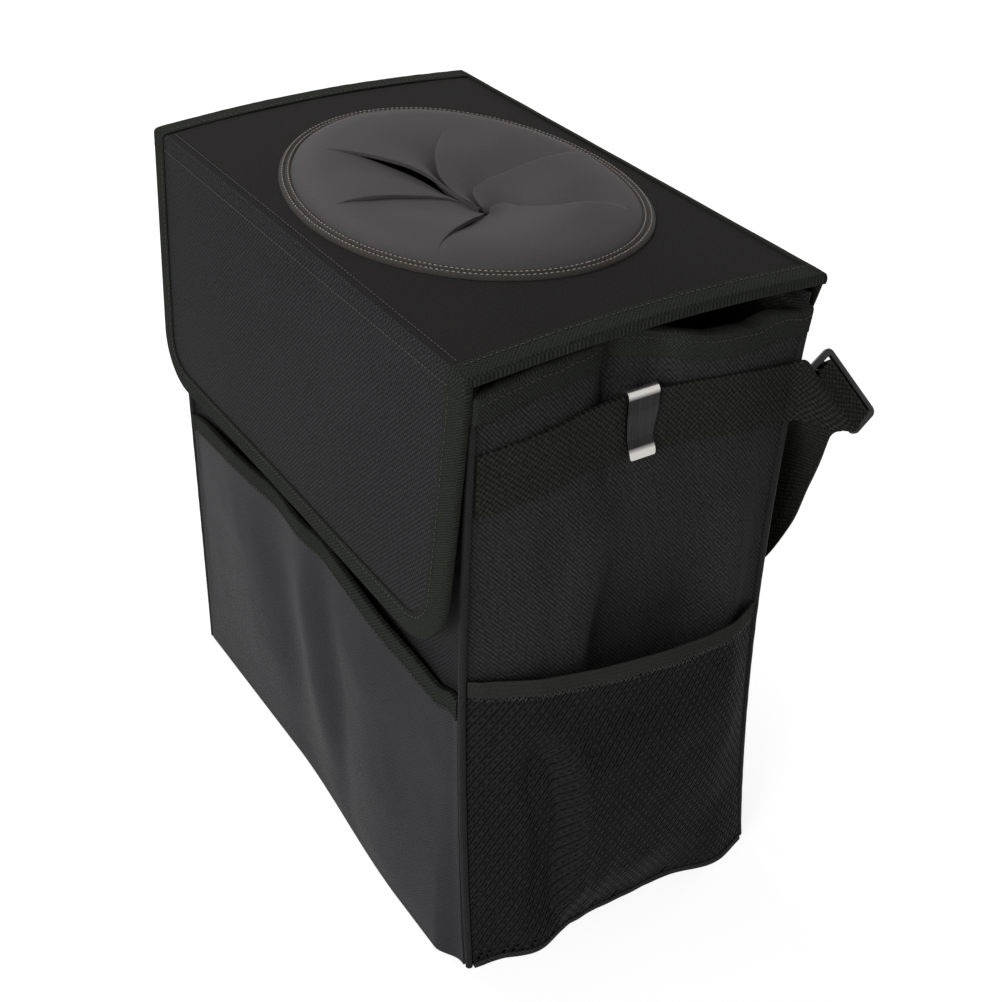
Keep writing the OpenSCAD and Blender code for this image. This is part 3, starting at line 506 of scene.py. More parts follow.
def pocket_point(x_share, z, out):
    """A point on the front pocket: across from -1 to 1, at a height, and off its inner face."""
    v = z / pocket_top
    slack = math.cos(x_share * math.pi / 2) ** 0.8 * (0.22 + 0.78 * ease(v)) * ease(3 * v)
    x = x_share * (half_w(z) - 1.9)
    lean = x_share + 0.12 * v
    folds = 3.2 * hump(lean - 0.52, 0.19) - 2.6 * hump(lean - 0.27, 0.07) + 2.6 * hump(lean - 0.12, 0.1)
    folds += -3.4 * hump(lean + 0.1, 0.12) + 1.6 * hump(lean + 0.42, 0.17)
    folds += 1.2 * crumple(x, z * 0.5, 60, 2.7) + 0.25 * crumple(x, z, 16, 6.1)
    edge = ease((1 - abs(x_share)) / 0.07) * ease(z / 18)
    tall = ease((z - 20) / 60) * (1 - 0.85 * ease((z - 112) / 44))
    stand = 8 - 2.5 * ease((z - 110) / 50)
    y = -half_d - 0.4 - stand * slack - front_swell(x, z) - folds * edge * (0.25 + 0.75 * tall) - out
    return bowed(x, y, z)


def pocket_sag(u):
    """Height of the pocket's mouth across the front: it droops to the corners, most to the right."""
    return 154.5 + 14.5 * (1 - abs(u) ** 1.8) - 5 * ease((u - 0.25) / 0.35) * (1 - ease((u - 0.85) / 0.12))


def pocket_place(u, v):
    z = 0.8 + (pocket_sag(u) - 0.8) * v
    x, y, z = pocket_point(u, z, cloth_t)
    return (x, y, z), (x, z)


bm = cloth_sheet(150, 92, pocket_place, cloth_t, (0, -1, 0))
front_pocket = sewn_piece(bm, "front_pocket_cloth", pocket_finish)
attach(front_pocket, "bin")
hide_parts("front_pocket")


def pocket_tape_place(u, v):
    run, off = fold_profile(v, 9.2, 2.4, 0.5)
    x, y, z = pocket_point(u, pocket_sag(u) + 0.6 - run, cloth_t / 2 + off)
    return (x, y, z), (x, run)


bm = cloth_sheet(170, 22, pocket_tape_place, 0, (0, -1, 0))
pocket_tape = sewn_piece(bm, "front_pocket_tape", tape_finish)
thicken(pocket_tape, 0.5, 0)
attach(pocket_tape, "bin")
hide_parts("front_pocket_binding")
bm = bmesh.new()
line = [pocket_point(i / 60 - 1, pocket_sag(i / 60 - 1) - 7.2, cloth_t + 1.0) for i in range(2, 119)]
stitch_row(bm, line, [(0, -1, 0)] * len(line))
pocket_stitches = sewn_piece(bm, "front_pocket_stitches", thread_finish)
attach(pocket_stitches, "bin")

# Mesh pockets: open six sided netting sewn to the corner seams and the base, pulled in by a fold in
# its front third and full behind it. The netting is cut from one pattern of rings.
net_finish, tree, surface = start_finish("Netting", 0.03, 0.55)
two_tones(tree, surface, blotches(tree, 400), (0.006, 0.006, 0.0064), (0.023, 0.023, 0.024))
mesh_top = 158
net_t = 1.1
net_reach = 78.4


def mesh_mouth(y):
    """Height of the mesh pocket's mouth, which slopes down from front to back."""
    return 157.5 - 0.125 * y - 2 * math.cos(y / half_d * math.pi / 2)


def mesh_point(y, z, out):
    """A point on the right mesh pocket, off its inner face."""
    v = z / mesh_top
    u = y / half_d
    fold_y = -49 + 11 * math.sin(math.pi * min(1, max(0, (132 - z) / 150))) - 3 * ease((30 - z) / 30)
    full = math.cos(u * math.pi / 2) ** 0.7 * ease((z + 3) / 36)
    behind = ease((y - fold_y) / 16)
    mouth = ease((z - 100) / 45)
    bag = 1.8 + 10.2 * behind * (0.55 + 0.45 * ease(v * 1.6)) + 1.8 * (1 - behind)
    stand = full * (bag * (1 - mouth) + 8 * mouth)
    groove = 5 * hump(y - fold_y + 3, 6.5) - 2.6 * hump(y - fold_y - 11, 7)
    groove = groove * ease(z / 30) * ease((138 - z) / 34)
    ripple = 1.0 * crumple(y, z, 30, 4.5) + 0.4 * crumple(y, z, 11, 1.5)
    ripple += 0.8 * hump(y - fold_y - 26 - z * 0.05, 5) * ease((100 - z) / 60)
    edge = ease((half_d - abs(y)) / 7)
    clear = max(stand - groove + ripple * edge, 0.5 - fold_in(y, z))
    return bowed(half_w(z) + 0.5 + clear * edge + side_swell(y, z) + out, y, z)


cell_w, cell_h = 4.2, 3.1
columns, rows = 39, 50
ring = bmesh.new()
bmesh.ops.create_circle(ring, segments=6, radius=1, cap_ends=True)
flat = ring.loops.layers.uv.new("Cloth")
outline = [(0.5, -0.3), (0.5, 0.3), (0, 0.7), (-0.5, 0.3), (-0.5, -0.3), (0, -0.7)]
for v in ring.verts:
    turn = round((math.degrees(math.atan2(v.co.y, v.co.x)) % 360) / 60) % 6
    v.co = Vector((outline[turn][0] * cell_w, outline[turn][1] * cell_h, 0))
spare = ring.faces[:]
bmesh.ops.inset_individual(ring, faces=spare, thickness=0.8, use_even_offset=True)
bmesh.ops.delete(ring, geom=spare, context="FACES")
for count, step in ((columns, Vector((cell_w, 0, 0))), (rows, Vector((cell_w / 2, cell_h, 0)))):
    first = ring.verts[:] + ring.edges[:] + ring.faces[:]
    for c in range(1, count):
        copy = bmesh.ops.duplicate(ring, geom=first)["geom"]
        shift = Vector(((c % 2) * step.x, c * step.y, 0)) if step.y else step * c
        bmesh.ops.translate(ring, verts=[g for g in copy if isinstance(g, bmesh.types.BMVert)], vec=shift)
bmesh.ops.remove_doubles(ring, verts=ring.verts[:], dist=0.02)
bmesh.ops.translate(ring, verts=ring.verts[:], vec=(-columns * cell_w / 2, 0, 0))
net_h = 150
for spot, off in (((net_reach, 0, 0), (1, 0, 0)), ((-net_reach, 0, 0), (-1, 0, 0)), ((0, 0, 0), (0, -1, 0)),
        ((0, net_h, 0), (0, 1, 0))):
    whole = ring.verts[:] + ring.edges[:] + ring.faces[:]
    bmesh.ops.bisect_plane(ring, geom=whole, plane_co=spot, plane_no=off, clear_outer=True)
bmesh.ops.dissolve_degenerate(ring, edges=ring.edges[:], dist=0.02)
for face in ring.faces:
    for loop in face.loops:
        loop[flat].uv = loop.vert.co.xy * mm
under = bmesh.ops.extrude_face_region(ring, geom=ring.faces[:], use_keep_orig=True)["geom"]
bmesh.ops.translate(ring, verts=[g for g in under if isinstance(g, bmesh.types.BMVert)], vec=(0, 0, net_t))
for v in ring.verts:
    y, height, out = v.co
    v.co = Vector(mesh_point(y, 0.9 + (mesh_mouth(y) - 7.4) * height / net_h, out)) * mm
bmesh.ops.recalc_face_normals(ring, faces=ring.faces[:])


def net_hem_place(u, v):
    return mesh_point(u * net_reach, 0.5 + 3 * v, net_t + 0.6), (u * 78, v * 3)


for side, name in both_sides:
    bm = ring.copy()
    if side < 0:
        bmesh.ops.scale(bm, verts=bm.verts[:], vec=(-1, 1, 1))
        bmesh.ops.reverse_faces(bm, faces=bm.faces[:])
    netting = sewn_piece(bm, "netting_" + name, net_finish, 60)
    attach(netting, "bin")
    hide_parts("mesh_pocket_" + name)
    bm = cloth_sheet(120, 4, on_side(side, net_hem_place), 0.5, (side, 0, 0))
    netting_hem = sewn_piece(bm, "netting_hem_" + name, twill)
    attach(netting_hem, "bin")
ring.free()

# Pocket elastic: ribbed elastic sewn along the mouth of each mesh pocket, with a close zigzag of
# thread over its lower edge.
elastic_finish = cloth_finish("Ribbed elastic", (0.011, 0.0115, 0.010), (0.04, 0.041, 0.037), 0.65, 0.6,
    0.1)


def elastic_place(u, v):
    y = u * 78.6
    rib = 0.35 * abs(math.sin(v * 4 * math.pi))
    x, y, z = mesh_point(y, mesh_mouth(y) - 7.8 + 8.3 * v, 1.2 + rib)
    return (x, y, z), (y, 8 * v)


for side, name in both_sides:
    bm = cloth_sheet(120, 24, on_side(side, elastic_place), 1.1, (side, 0, 0))
    elastic = sewn_piece(bm, "elastic_" + name, elastic_finish)
    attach(elastic, "bin")
    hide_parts("mesh_elastic_" + name)
    bm = bmesh.new()
    line = []
    turns = 130
    for i in range(turns):
        y = -77 + 154 * i / (turns - 1)
        x, y, z = mesh_point(y, mesh_mouth(y) - 7.4 - 2.2 * (i % 2), 1.1)
        line.append((side * x, y, z))
    stitch_row(bm, line, [(side, 0, 0)] * turns, pitch=2.4, length=2.2, width=0.45, rise=0.1)
    zigzag = sewn_piece(bm, "elastic_stitches_" + name, thread_finish)
    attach(zigzag, "bin")

# Hook and loop closure: a soft napped strip on the bag's front and a strip of hooks behind the
# flap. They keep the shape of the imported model.
nap, tree, surface = start_finish("Hook and loop", 0.15, 0.9)
pile = node(tree, "ShaderNodeTexVoronoi", node(tree, "ShaderNodeTexCoord").outputs["Object"])
pile.inputs["Scale"].default_value = 900
two_tones(tree, surface, pile.outputs["Distance"], (0.02, 0.02, 0.021), (0.007, 0.007, 0.008))
emboss(tree, surface, pile.outputs["Distance"], 0.4, 1)
for strip in ("loop_tape", "hook_tape"):
    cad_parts[strip].data.materials.clear()
    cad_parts[strip].data.materials.append(nap)

# Webbing: ribbed carrying tape sewn across each side below the rim. On the right it runs on past
# the back corner to the slider; the strap starts on the left, hangs behind the bag and comes up to
# the same slider.
webbing_finish = cloth_finish("Ribbed webbing", (0.0028, 0.0032, 0.0025), (0.033, 0.035, 0.029), 0.6, 1.3,
    0.4)
webbing_w, webbing_t = 28, 1.6


def spline(a, b, c, d, t):
    """The smooth curve through four values, at a share of the way from the second to the third."""
    return (2 * b + (c - a) * t + (2 * a - 5 * b + 4 * c - d) * t * t + (3 * b - a - 3 * c + d) * t ** 3) / 2


def smooth_path(keys, steps):
    """A smooth curve through key points, with a number of steps between two keys."""
    keys = [Vector(k) for k in keys]
    path = []
    for i in range(len(keys) - 1):
        a, b, c, d = keys[max(0, i - 1)], keys[i], keys[i + 1], keys[min(len(keys) - 1, i + 2)]
        path += [spline(a, b, c, d, step / steps) for step in range(steps)]
    return path + [keys[-1]]


def webbing_point(y):
    z = 259.75 + 5.5 * math.cos(y / 78.8 * math.pi / 2) - 1.25 * y / 78.8
    rise = 1.9 * ease((y / 78.8 - 0.5) / 0.45)
    follow = min(fold_in(y, z + 9), fold_in(y, z), fold_in(y, z - 9))
    dip = max(0, min(follow, 4.5 * math.cos(y / 78.8 * math.pi / 2) ** 2))
    return Vector(bowed(half_w(z) + 1.3 + rise - dip, y, z))


slider_at = Vector((144, 100, 254))
slider_long = Vector((0.54, 0.39, -0.75)).normalized()
slider_face = slider_long.cross(Vector((-0.26, 0.92, 0.29))).normalized()
slider_cross = slider_long.cross(slider_face)


def at_slider(u, n):
    return slider_at + slider_cross * u + slider_face * n


def webbing_piece(name, stations, slack, *stands_for):
    """Lay webbing along stations, each a middle point and a width direction."""
    lengths = [0.0]
    for (p, w), (q, x) in zip(stations, stations[1:]):
        lengths.append(lengths[-1] + (q - p).length)
    last = len(stations) - 1

    def place(u, v):
        f = v * last
        i = min(last - 1, int(f))
        t = f - i
        middle = stations[i][0].lerp(stations[i + 1][0], t)
        width = stations[i][1].normalized().lerp(stations[i + 1][1].normalized(), t).normalized()
        run = lengths[i] + (lengths[i + 1] - lengths[i]) * t
        before, after = stations[max(0, i - 1)][0], stations[min(last, i + 2)][0]
        off = (after - before).normalized().cross(width).normalized()
        ripple = slack * crumple(run, u * 14, 22, 3) + 0.12 * math.sin(u * math.pi * 6)
        return middle + width * u * webbing_w / 2 + off * ripple, (u * webbing_w / 2, run)

    bm = cloth_sheet(24, 2 * last, place, webbing_t, (1, 0, 0))
    piece = sewn_piece(bm, name, webbing_finish)
    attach(piece, "bin")
    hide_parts(*stands_for)


up = Vector((0, 0, 1))
aslant = -slider_long
strap_off = math.hypot(2.6, 2.4) / 2 + 1.1
second_off = strap_off + 1.9
near_bar = 7.2
ends = 77.2
run = [(webbing_point(-ends + 2 * ends * i / 60), up) for i in range(61)]
leave = run[-1][0]
bridge = smooth_path([leave, leave + Vector((2.5, 6, 0)), at_slider(near_bar + 3.5, second_off + 0.4),
    at_slider(near_bar - 2, second_off)], 8)
over = [(p, up.lerp(aslant, ease((3 * i / 8 - 2) / 5))) for i, p in enumerate(bridge)][1:]
turn_r, turn_n = (second_off + strap_off) / 2, (second_off - strap_off) / 2
turn_u = turn_r - 3.6
fold = []
for a in range(13):
    bend = a * math.pi / 12
    fold.append((at_slider(turn_u - turn_r * math.sin(bend), turn_n + turn_r * math.cos(bend)), aslant))
tail = [(at_slider(turn_u + 1.4, turn_n - turn_r), aslant)]
webbing_piece("side_webbing", run + over + fold + tail, 0.25, "side_webbing_right")

mirrored = [(Vector((-p.x, p.y, p.z)), w) for p, w in run]
low_z, drop = 93, 168
# Stations of the loop: a share of the half width, a depth behind the back, a share of the drop and
# the direction of the webbing's width
loop = [(-1.03, 9, 0.02, (0.1, 0.05, 1)), (-1, 17, 0.09, (0.45, 0.15, 0.88)),
    (-0.94, 20, 0.24, (0.85, 0.05, 0.5)), (-0.86, 20, 0.45, (0.9, -0.1, 0.45)),
    (-0.7, 19, 0.68, (0.75, -0.2, 0.65)), (-0.44, 17, 0.89, (0.45, -0.3, 0.85)),
    (0, 16, 1, (0, -0.35, 0.95)), (0.44, 17, 0.89, (-0.45, -0.3, 0.85)), (0.67, 19, 0.7, (-0.75, -0.2, 0.65)),
    (0.8, 20, 0.5, (-0.9, -0.1, 0.45)), (0.87, 19, 0.32, (-0.85, -0.15, 0.5))]
keys = [mirrored[-1][0]] + [Vector((k[0] * 139, 80 + k[1], low_z + drop * (1 - k[2]))) for k in loop]
keys += [at_slider(near_bar + 6, -second_off - 4), at_slider(near_bar + 1.5, -strap_off - 0.5)]
turns = [up] + [Vector(k[3]) for k in loop] + [aslant, aslant]
droop = list(zip(smooth_path(keys, 9), smooth_path(turns, 9)))[1:]
hook = []
for a in range(10, -1, -1):
    bend = a * math.pi / 10
    hook.append((at_slider(near_bar - strap_off * math.sin(bend), strap_off * math.cos(bend)), aslant))
webbing_piece("hanging_webbing", mirrored + droop + hook, 0.4, "hanging_strap")

# Strap slider: a moulded three bar buckle of glossy plastic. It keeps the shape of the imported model
# with its edges rounded off.
slider_finish, tree, surface = start_finish("Slider plastic", 0.3)
moulding = object_noise(tree, 120)
tree.links.new(calc(tree, "MULTIPLY_ADD", moulding, 0.15, 0.24), surface.inputs["Roughness"])
two_tones(tree, surface, moulding, (0.004, 0.004, 0.0045), (0.009, 0.009, 0.0095))
bm = bmesh.new()
bm.from_mesh(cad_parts["strap_slider"].data)
bmesh.ops.remove_doubles(bm, verts=bm.verts[:], dist=0.00001)
bmesh.ops.dissolve_limit(bm, angle_limit=math.radians(3), verts=bm.verts[:], edges=bm.edges[:])
rims = [e for e in bm.edges if len(e.link_faces) == 2 and e.calc_face_angle(0) > math.radians(60)]
bmesh.ops.bevel(bm, geom=rims, offset=0.5 * mm, affect="EDGES", segments=3, profile=0.5, material=-1)
slider = sewn_piece(bm, "slider_buckle", slider_finish, 30)
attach(slider, "bin")
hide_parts("strap_slider")

# Bag clips: strips of blackened spring steel bent over the webbing. The top bend and the flared lip are
# painted bright, partly as worn bare steel and partly as a painted highlight. They keep the shape of the
# imported model.
steel, tree, surface = start_finish("Blackened spring steel")
surface.inputs["Metallic"].default_value = 1
brushed = node(tree, "ShaderNodeTexNoise", node(tree, "ShaderNodeMapping",
    node(tree, "ShaderNodeTexCoord").outputs["Object"], None, None, (900, 900, 60)).outputs[0])
brushed.inputs["Scale"].default_value = 1
tree.links.new(calc(tree, "MULTIPLY_ADD", brushed.outputs[0], 0.2, 0.22), surface.inputs["Roughness"])
black = two_tones(tree, surface, brushed.outputs[0], (0.012, 0.012, 0.0125), (0.036, 0.036, 0.037))
height = node(tree, "ShaderNodeSeparateXYZ", node(tree, "ShaderNodeTexCoord").outputs["Object"]).outputs[2]
# Painted highlight and wear: above and below these heights the clip is coloured bright bare steel, partly for
# worn paint and partly for the light the bend and the lip catch
worn_and_lit_top = calc(tree, "MULTIPLY", calc(tree, "SUBTRACT", height, 0.2785), 500)
worn_and_lit_lip = calc(tree, "MULTIPLY", calc(tree, "SUBTRACT", 0.2568, height), 500)
worn_and_lit_ends = calc(tree, "MAXIMUM", calc(tree, "MAXIMUM", worn_and_lit_top, worn_and_lit_lip), 0)
bare_and_highlit = node(tree, "ShaderNodeMix", data_type="RGBA", clamp_factor=True)
tree.links.new(worn_and_lit_ends, bare_and_highlit.inputs[0])
tree.links.new(black, bare_and_highlit.inputs[6])
bare_and_highlit.inputs[7].default_value = (0.62, 0.6, 0.57, 1)
tree.links.new(bare_and_highlit.outputs[2], surface.inputs["Base Color"])
for clip in ("bag_clip_right", "bag_clip_left"):
    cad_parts[clip].data.materials.clear()
    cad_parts[clip].data.materials.append(steel)

# Lid: fine matt cloth over a board, with an oval hole. It is sewn to the flap along the front fold
# and crowns a little in the middle, where the rubber opening is let in.
lid_finish = cloth_finish("Lid cloth", (0.009, 0.0084, 0.0083), (0.026, 0.0243, 0.024), 0.66, 0.7, 0.12)
lid_x, fold_y, hinge_y, lid_z = 140, -83.3, 85, 310
fold_z, fold_r = 308.3, 1.7
ring_a, ring_b = 98, 74
hole_inset = 2.8


def crown(x, y):
    """Height that the crown and a few soft waves add to the lid at a place."""
    waves = 0.3 * crumple(x, y, 45, 2) * ease((hinge_y - abs(y)) / 15)
    return 6 * max(0, 1 - (y / hinge_y) ** 2) * (1 - 0.4 * (x / lid_x) ** 2) + waves


def lid_radial(angle, share, inner, outset):
    """A point between the oval hole and the lid's edge, on a line from the middle."""
    c, s = math.cos(angle), math.sin(angle)
    hole = Vector(((ring_a - inner) * c, (ring_b - inner) * s))
    reach_x, reach_y = lid_x - outset, hinge_y if hole.y > 0 else -fold_y
    k = min(reach_x / max(abs(hole.x), 1e-6), reach_y / max(abs(hole.y), 1e-6))
    return hole.lerp(hole * k, share)


def lid_place(u, v):
    p = lid_radial(u * math.pi, v, hole_inset, 0.7)
    return (p.x, p.y, lid_z + crown(p.x, p.y)), (p.x, p.y)


corner_turns = [math.atan2(y / (ring_b - hole_inset), sx * 139.3 / (ring_a - hole_inset))
    for y in (hinge_y, fold_y) for sx in (1, -1)]


def to_corners(u):
    """Move the nearest lines of the grid onto the lid's corners."""
    near = min(corner_turns, key=lambda a: abs(a / math.pi - u))
    half_cell = 0.0034
    return near / math.pi if abs(near / math.pi - u) < half_cell else u


def lay_flat(bm, facing_up, thick):
    """Face a sheet round the opening up or down and give it thickness behind."""
    if (sum(f.normal.z for f in bm.faces) > 0) != facing_up:
        bmesh.ops.reverse_faces(bm, faces=bm.faces[:])
    if thick:
        bmesh.ops.solidify(bm, geom=bm.faces[:], thickness=thick * mm)
        bmesh.ops.recalc_face_normals(bm, faces=bm.faces[:])


bm = cloth_sheet(300, 46, lambda u, v: lid_place(to_corners(u), v))
lay_flat(bm, True, cloth_t)
lid_cloth = sewn_piece(bm, "lid_cloth", lid_finish)
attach(lid_cloth, "lid")
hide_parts("lid_panel")

# Lid lining: thin plain cloth under the board, glued flat and caught in the side tapes.
lining_finish = cloth_finish("Plain lining", (0.006, 0.006, 0.0065), (0.017, 0.017, 0.018), 0.7, 0.5, 0.06)


def lid_lining_place(u, v):
    p = lid_radial(u * math.pi, v, hole_inset, 1)
    return (p.x, p.y, lid_z - 3.3 + crown(p.x, p.y)), (u * 200, v * 60)


bm = cloth_sheet(240, 16, lid_lining_place)
lay_flat(bm, False, 0.6)
lid_lining = sewn_piece(bm, "lid_lining_cloth", lining_finish)
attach(lid_lining, "lid")
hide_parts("lid_lining")

# Side tapes: ribbed binding tape folded round each side edge of the lid. It runs on round the fold
# at the front to meet the tape of the flap, with one line of stitches near its inner edge.
tilt = math.radians(3.5)
turn = math.pi / 2 + tilt
fold_arc = 2.6
lid_run = hinge_y - fold_y


def side_edge(run_y, x, off):
    """A point on the stack of lid and flap: a run from the hinge, across, and off its middle."""
    past = run_y - lid_run
    if past <= 0:
        y = hinge_y - run_y
        return x, y, fold_z + crown(x, y) + off
    bend = min(1, past / fold_arc) * turn
    h = max(0, past - fold_arc)
    y = fold_y - off * math.sin(bend) - h * math.sin(tilt)
    return x, y, fold_z + off * math.cos(bend) - h * math.cos(tilt)


def lid_tape_place(u, v):
    reach = (u + 1) / 2 * 1.2
    run_y = lid_run * min(1, reach) + (fold_arc + 6) * max(0, (reach - 1) / 0.2)
    inward, off = fold_profile(v, 10, 4.5, 0.6)
    groove = 0.25 * hump(inward - 7.9, 0.6) * (1 if off > 0 else 0)
    ripple = 0.14 * crumple(run_y, v * 30, 6, 5)
    x, y, z = side_edge(run_y, lid_x - 0.4 - inward, off + (ripple - groove if off > 0 else 0))
    return (x, y, z), (run_y, inward)


for side, name in both_sides:
    bm = cloth_sheet(150, 34, on_side(side, lid_tape_place), 0, (side, 0, 0))
    lid_tape = sewn_piece(bm, "lid_tape_" + name, tape_finish)
    thicken(lid_tape, 0.4, 0)
    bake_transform(lid_tape)
    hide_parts("lid_binding_" + name)
    bm = bmesh.new()
    line = [side_edge(hinge_y - y, side * 131.7, 2.4) for y in range(84, -81, -2)]
    stitch_row(bm, line, [(0, 0, 1)] * len(line))
    tape_stitches = sewn_piece(bm, "lid_stitches_" + name, thread_finish)
    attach(tape_stitches, "lid")

# Rubber opening: one sheet of foam rubber with a fine leather grain, swelling up from its sewn edge
# and sinking to the middle. Curved slits cut it into petals that ride over one another.
rubber, tree, surface = start_finish("Foam rubber sheet", 0.04)
on_sheet = node(tree, "ShaderNodeTexCoord").outputs["Object"]
leather = node(tree, "ShaderNodeTexVoronoi", on_sheet, feature="SMOOTH_F1")
leather.inputs["Scale"].default_value = 1100
grain = leather.outputs["Distance"]
worn = blotches(tree, 26)
two_tones(tree, surface, calc(tree, "MULTIPLY_ADD", grain, 0.5, calc(tree, "MULTIPLY", worn, 0.5)),
    (0.05, 0.0465, 0.0485), (0.074, 0.069, 0.0715))
tree.links.new(calc(tree, "MULTIPLY_ADD", worn, 0.15, 0.5), surface.inputs["Roughness"])
emboss(tree, surface, grain, 0.12, 0.5)

# Each slit: its direction at shares of the oval from the middle out, where it ends, how far its lip
# on one side rises and on the other dips, where along it they do most, and the gap between them,
# less than nothing where the dipped lip is tucked under its neighbour
innermost = 0.03
shares = (innermost, 0.13, 0.22, 0.34, 0.5, 0.65, 0.85)
slits = [((-150, -155, -158, -157, -149.5, -143, -137), 0.83, 2.0, 2.4, 0.62, 0.8),
    ((-120, -138, -122, -106, -97, -93, -92), 0.89, 1.0, 0.6, 0.3, 0.08),
    ((-40, -41, -42, -42, -43, -45, -47), 0.95, 1.0, 1.3, 0.6, 0.08),
    ((80, 70, 43, 31, 29, 34, 42), 0.9, 2.6, 3.4, 0.3, -3.5),
    ((165, 158, 131, 108, 96, 91, 91), 0.89, 2.4, 3.2, 0.35, -3.5),
    ((190, 202, 194, 178, 162, 152, 146), 0.64, 1.8, 2.6, 0.4, -1.5)]
meet = Vector((27, -5))
insert_a, insert_b = ring_a - 3.9, ring_b - 3.9


def slit_angle(k, r):
    """Direction of a slit at a share of the oval."""
    turns = slits[k % 6][0]
    i = next((i for i in range(5) if r < shares[i + 1]), 5)
    t = min(1, (r - shares[i]) / (shares[i + 1] - shares[i]))
    bend = spline(turns[max(0, i - 1)], turns[i], turns[i + 1], turns[min(6, i + 2)], t)
    return bend + (360 if k >= 6 else 0)


def lip(k, r):
    """How much of its rise and dip the lip of a slit has at a share of the oval."""
    _, end, _, _, most, _ = slits[k % 6]
    inside = max(0, 1 - r / end)
    return ease(inside / most) * (1 - 0.5 * ease((inside - most) / (1 - most)))


def swell(r):
    """Height of the sheet over the lid from its sewn edge to the middle."""
    top, top_at = 6.2, 0.82
    if r > top_at:
        return top * math.sqrt(max(0, 1 - ((r - top_at) / 0.18) ** 2))
    return top - 8.2 * ease((top_at - r) / top_at)


bm = bmesh.new()
layer = bm.loops.layers.uv.new("Cloth")
for k in range(6):
    made = bmesh.ops.create_grid(bm, x_segments=34, y_segments=56, size=1)["verts"]
    for v in made:
        u, r = (v.co.x + 1) / 2, innermost + 0.97 * (v.co.y + 1) / 2
        inside = max(0, 1 - r / slits[k][1])
        gap = math.degrees(slits[k][5] * math.sin(math.pi * min(1, inside * 1.05)) / (r * 82))
        low, high = slit_angle(k, r) + gap * (inside > 0), slit_angle(k + 1, r)
        angle = math.radians(low + (max(high, low + 1) - low) * u)
        raised = slits[(k + 1) % 6][2] * lip(k + 1, r) * ease((u - 0.3) / 0.7)
        raised -= slits[k][3] * lip(k, r) * ease((0.62 - u) / 0.62)
        pull = max(0, 1 - r) ** 1.9
        x = insert_a * r * math.cos(angle) + meet.x * pull
        y = insert_b * r * math.sin(angle) + meet.y * pull
        z = lid_z - 0.8 + swell(r) + raised + crown(x, y) + 0.3 * crumple(x, y, 26, 8)
        v.co = Vector((x, y, z)) * mm
outer = [v for v in bm.verts if Vector((v.co.x / insert_a, v.co.y / insert_b)).length > 0.6 * mm]
bmesh.ops.remove_doubles(bm, verts=outer, dist=0.03 * mm)
bm.normal_update()
lay_flat(bm, True, 0)
rubber_sheet = sewn_piece(bm, "rubber_petals", rubber, 50)
thicken(rubber_sheet, 1.7, -1)
rounded = rubber_sheet.modifiers.new("Rounded lips", "BEVEL")
rounded.width = 0.5 * mm
rounded.segments = 2
rounded.limit_method = "ANGLE"
rounded.angle_limit = math.radians(60)
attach(rubber_sheet, "lid")
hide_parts("slit_insert")

# Ring round the opening: a double ridge of overlocked tape that joins the rubber to the lid, with
# paler thread along each ridge.
ring_finish = cloth_finish("Overlocked ring", (0.013, 0.0115, 0.0103), (0.06, 0.052, 0.047), 0.55, 0.7, 0.2,
    shine=0.05)
pale_thread = thread_finish.copy()
pale_thread.name = "Pale stitching thread"
for n in pale_thread.node_tree.nodes:
    if n.bl_idname == "ShaderNodeMix":
        n.inputs[6].default_value = (0.03, 0.026, 0.023, 1)
        n.inputs[7].default_value = (0.5, 0.44, 0.39, 1)
profile = [(0.4, -0.2), (0.5, 0.7), (-0.3, 1.5), (-1.2, 1.75), (-2.0, 1.4), (-2.5, 1.1), (-3.0, 1.5),
    (-3.8, 1.9), (-4.6, 1.7), (-5.1, 1.0), (-5.2, 0.0), (-4.9, -3.0), (-2.9, -3.0), (-2.8, -0.2), (0.4, -0.2)]
smooth_profile = smooth_path([(p[0], p[1], 0) for p in profile], 3)


def ring_place(u, v):
    a = u * math.pi
    f = v * (len(smooth_profile) - 1)
    i = min(len(smooth_profile) - 2, int(f))
    out, rise, _ = smooth_profile[i].lerp(smooth_profile[i + 1], f - i)
    x, y = (ring_a + out) * math.cos(a), (ring_b + out) * math.sin(a)
    rib = 0.07 * math.sin(a * 360)
    return (x, y, lid_z + crown(x, y) + rise + (rib if rise > 0.5 else 0)), (u * 272, v * 22)


bm = cloth_sheet(540, len(smooth_profile) - 1, ring_place)
opening_ring = sewn_piece(bm, "opening_ring_tape", ring_finish, 60)
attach(opening_ring, "lid")
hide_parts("opening_ring")
bm = bmesh.new()
for out, rise in ((-1.2, 1.8), (-3.9, 1.95)):
    line = []
    for i in range(361):
        a = math.radians(i)
        x, y = (ring_a + out) * math.cos(a), (ring_b + out) * math.sin(a)
        line.append((x, y, lid_z + crown(x, y) + rise))
    stitch_row(bm, line, [(0, 0, 1)] * 361, pitch=2.3, length=1.5, width=0.5, rise=0.05)
ring_stitches = sewn_piece(bm, "ring_stitches", pale_thread)
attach(ring_stitches, "lid")

# Front flap: the same cloth as the lid over its own board, turned down at the fold and hanging a
# little clear of the bag, with rounded lower corners.
flap_finish = cloth_finish("Flap cloth", (0.004, 0.004, 0.0044), (0.038, 0.038, 0.04), 0.56, 1.1, 0.22)
flap_h, flap_r, flap_narrowing = 125, 26, 4


def flap_point(x, h, off, slack=1):
    """A point on the flap: across, down from the fold, off its middle, and with how much slack."""
    across = 1 - (x / lid_x) ** 2
    curl = 1.5 * across * math.sin(math.pi * h / flap_h) + 1.4 * (h / flap_h) ** 3 * ease((x + 20) / 140)
    curl += (0.5 + 0.5 * crumple(x, h, 50, 1.4)) * ease(h / 30) * ease((flap_h - h) / 20) * across
    out = off + curl * slack
    y = fold_y - h * math.sin(tilt) - out * math.cos(tilt)
    z = fold_z - h * math.cos(tilt) + out * math.sin(tilt)
    return x, y, z


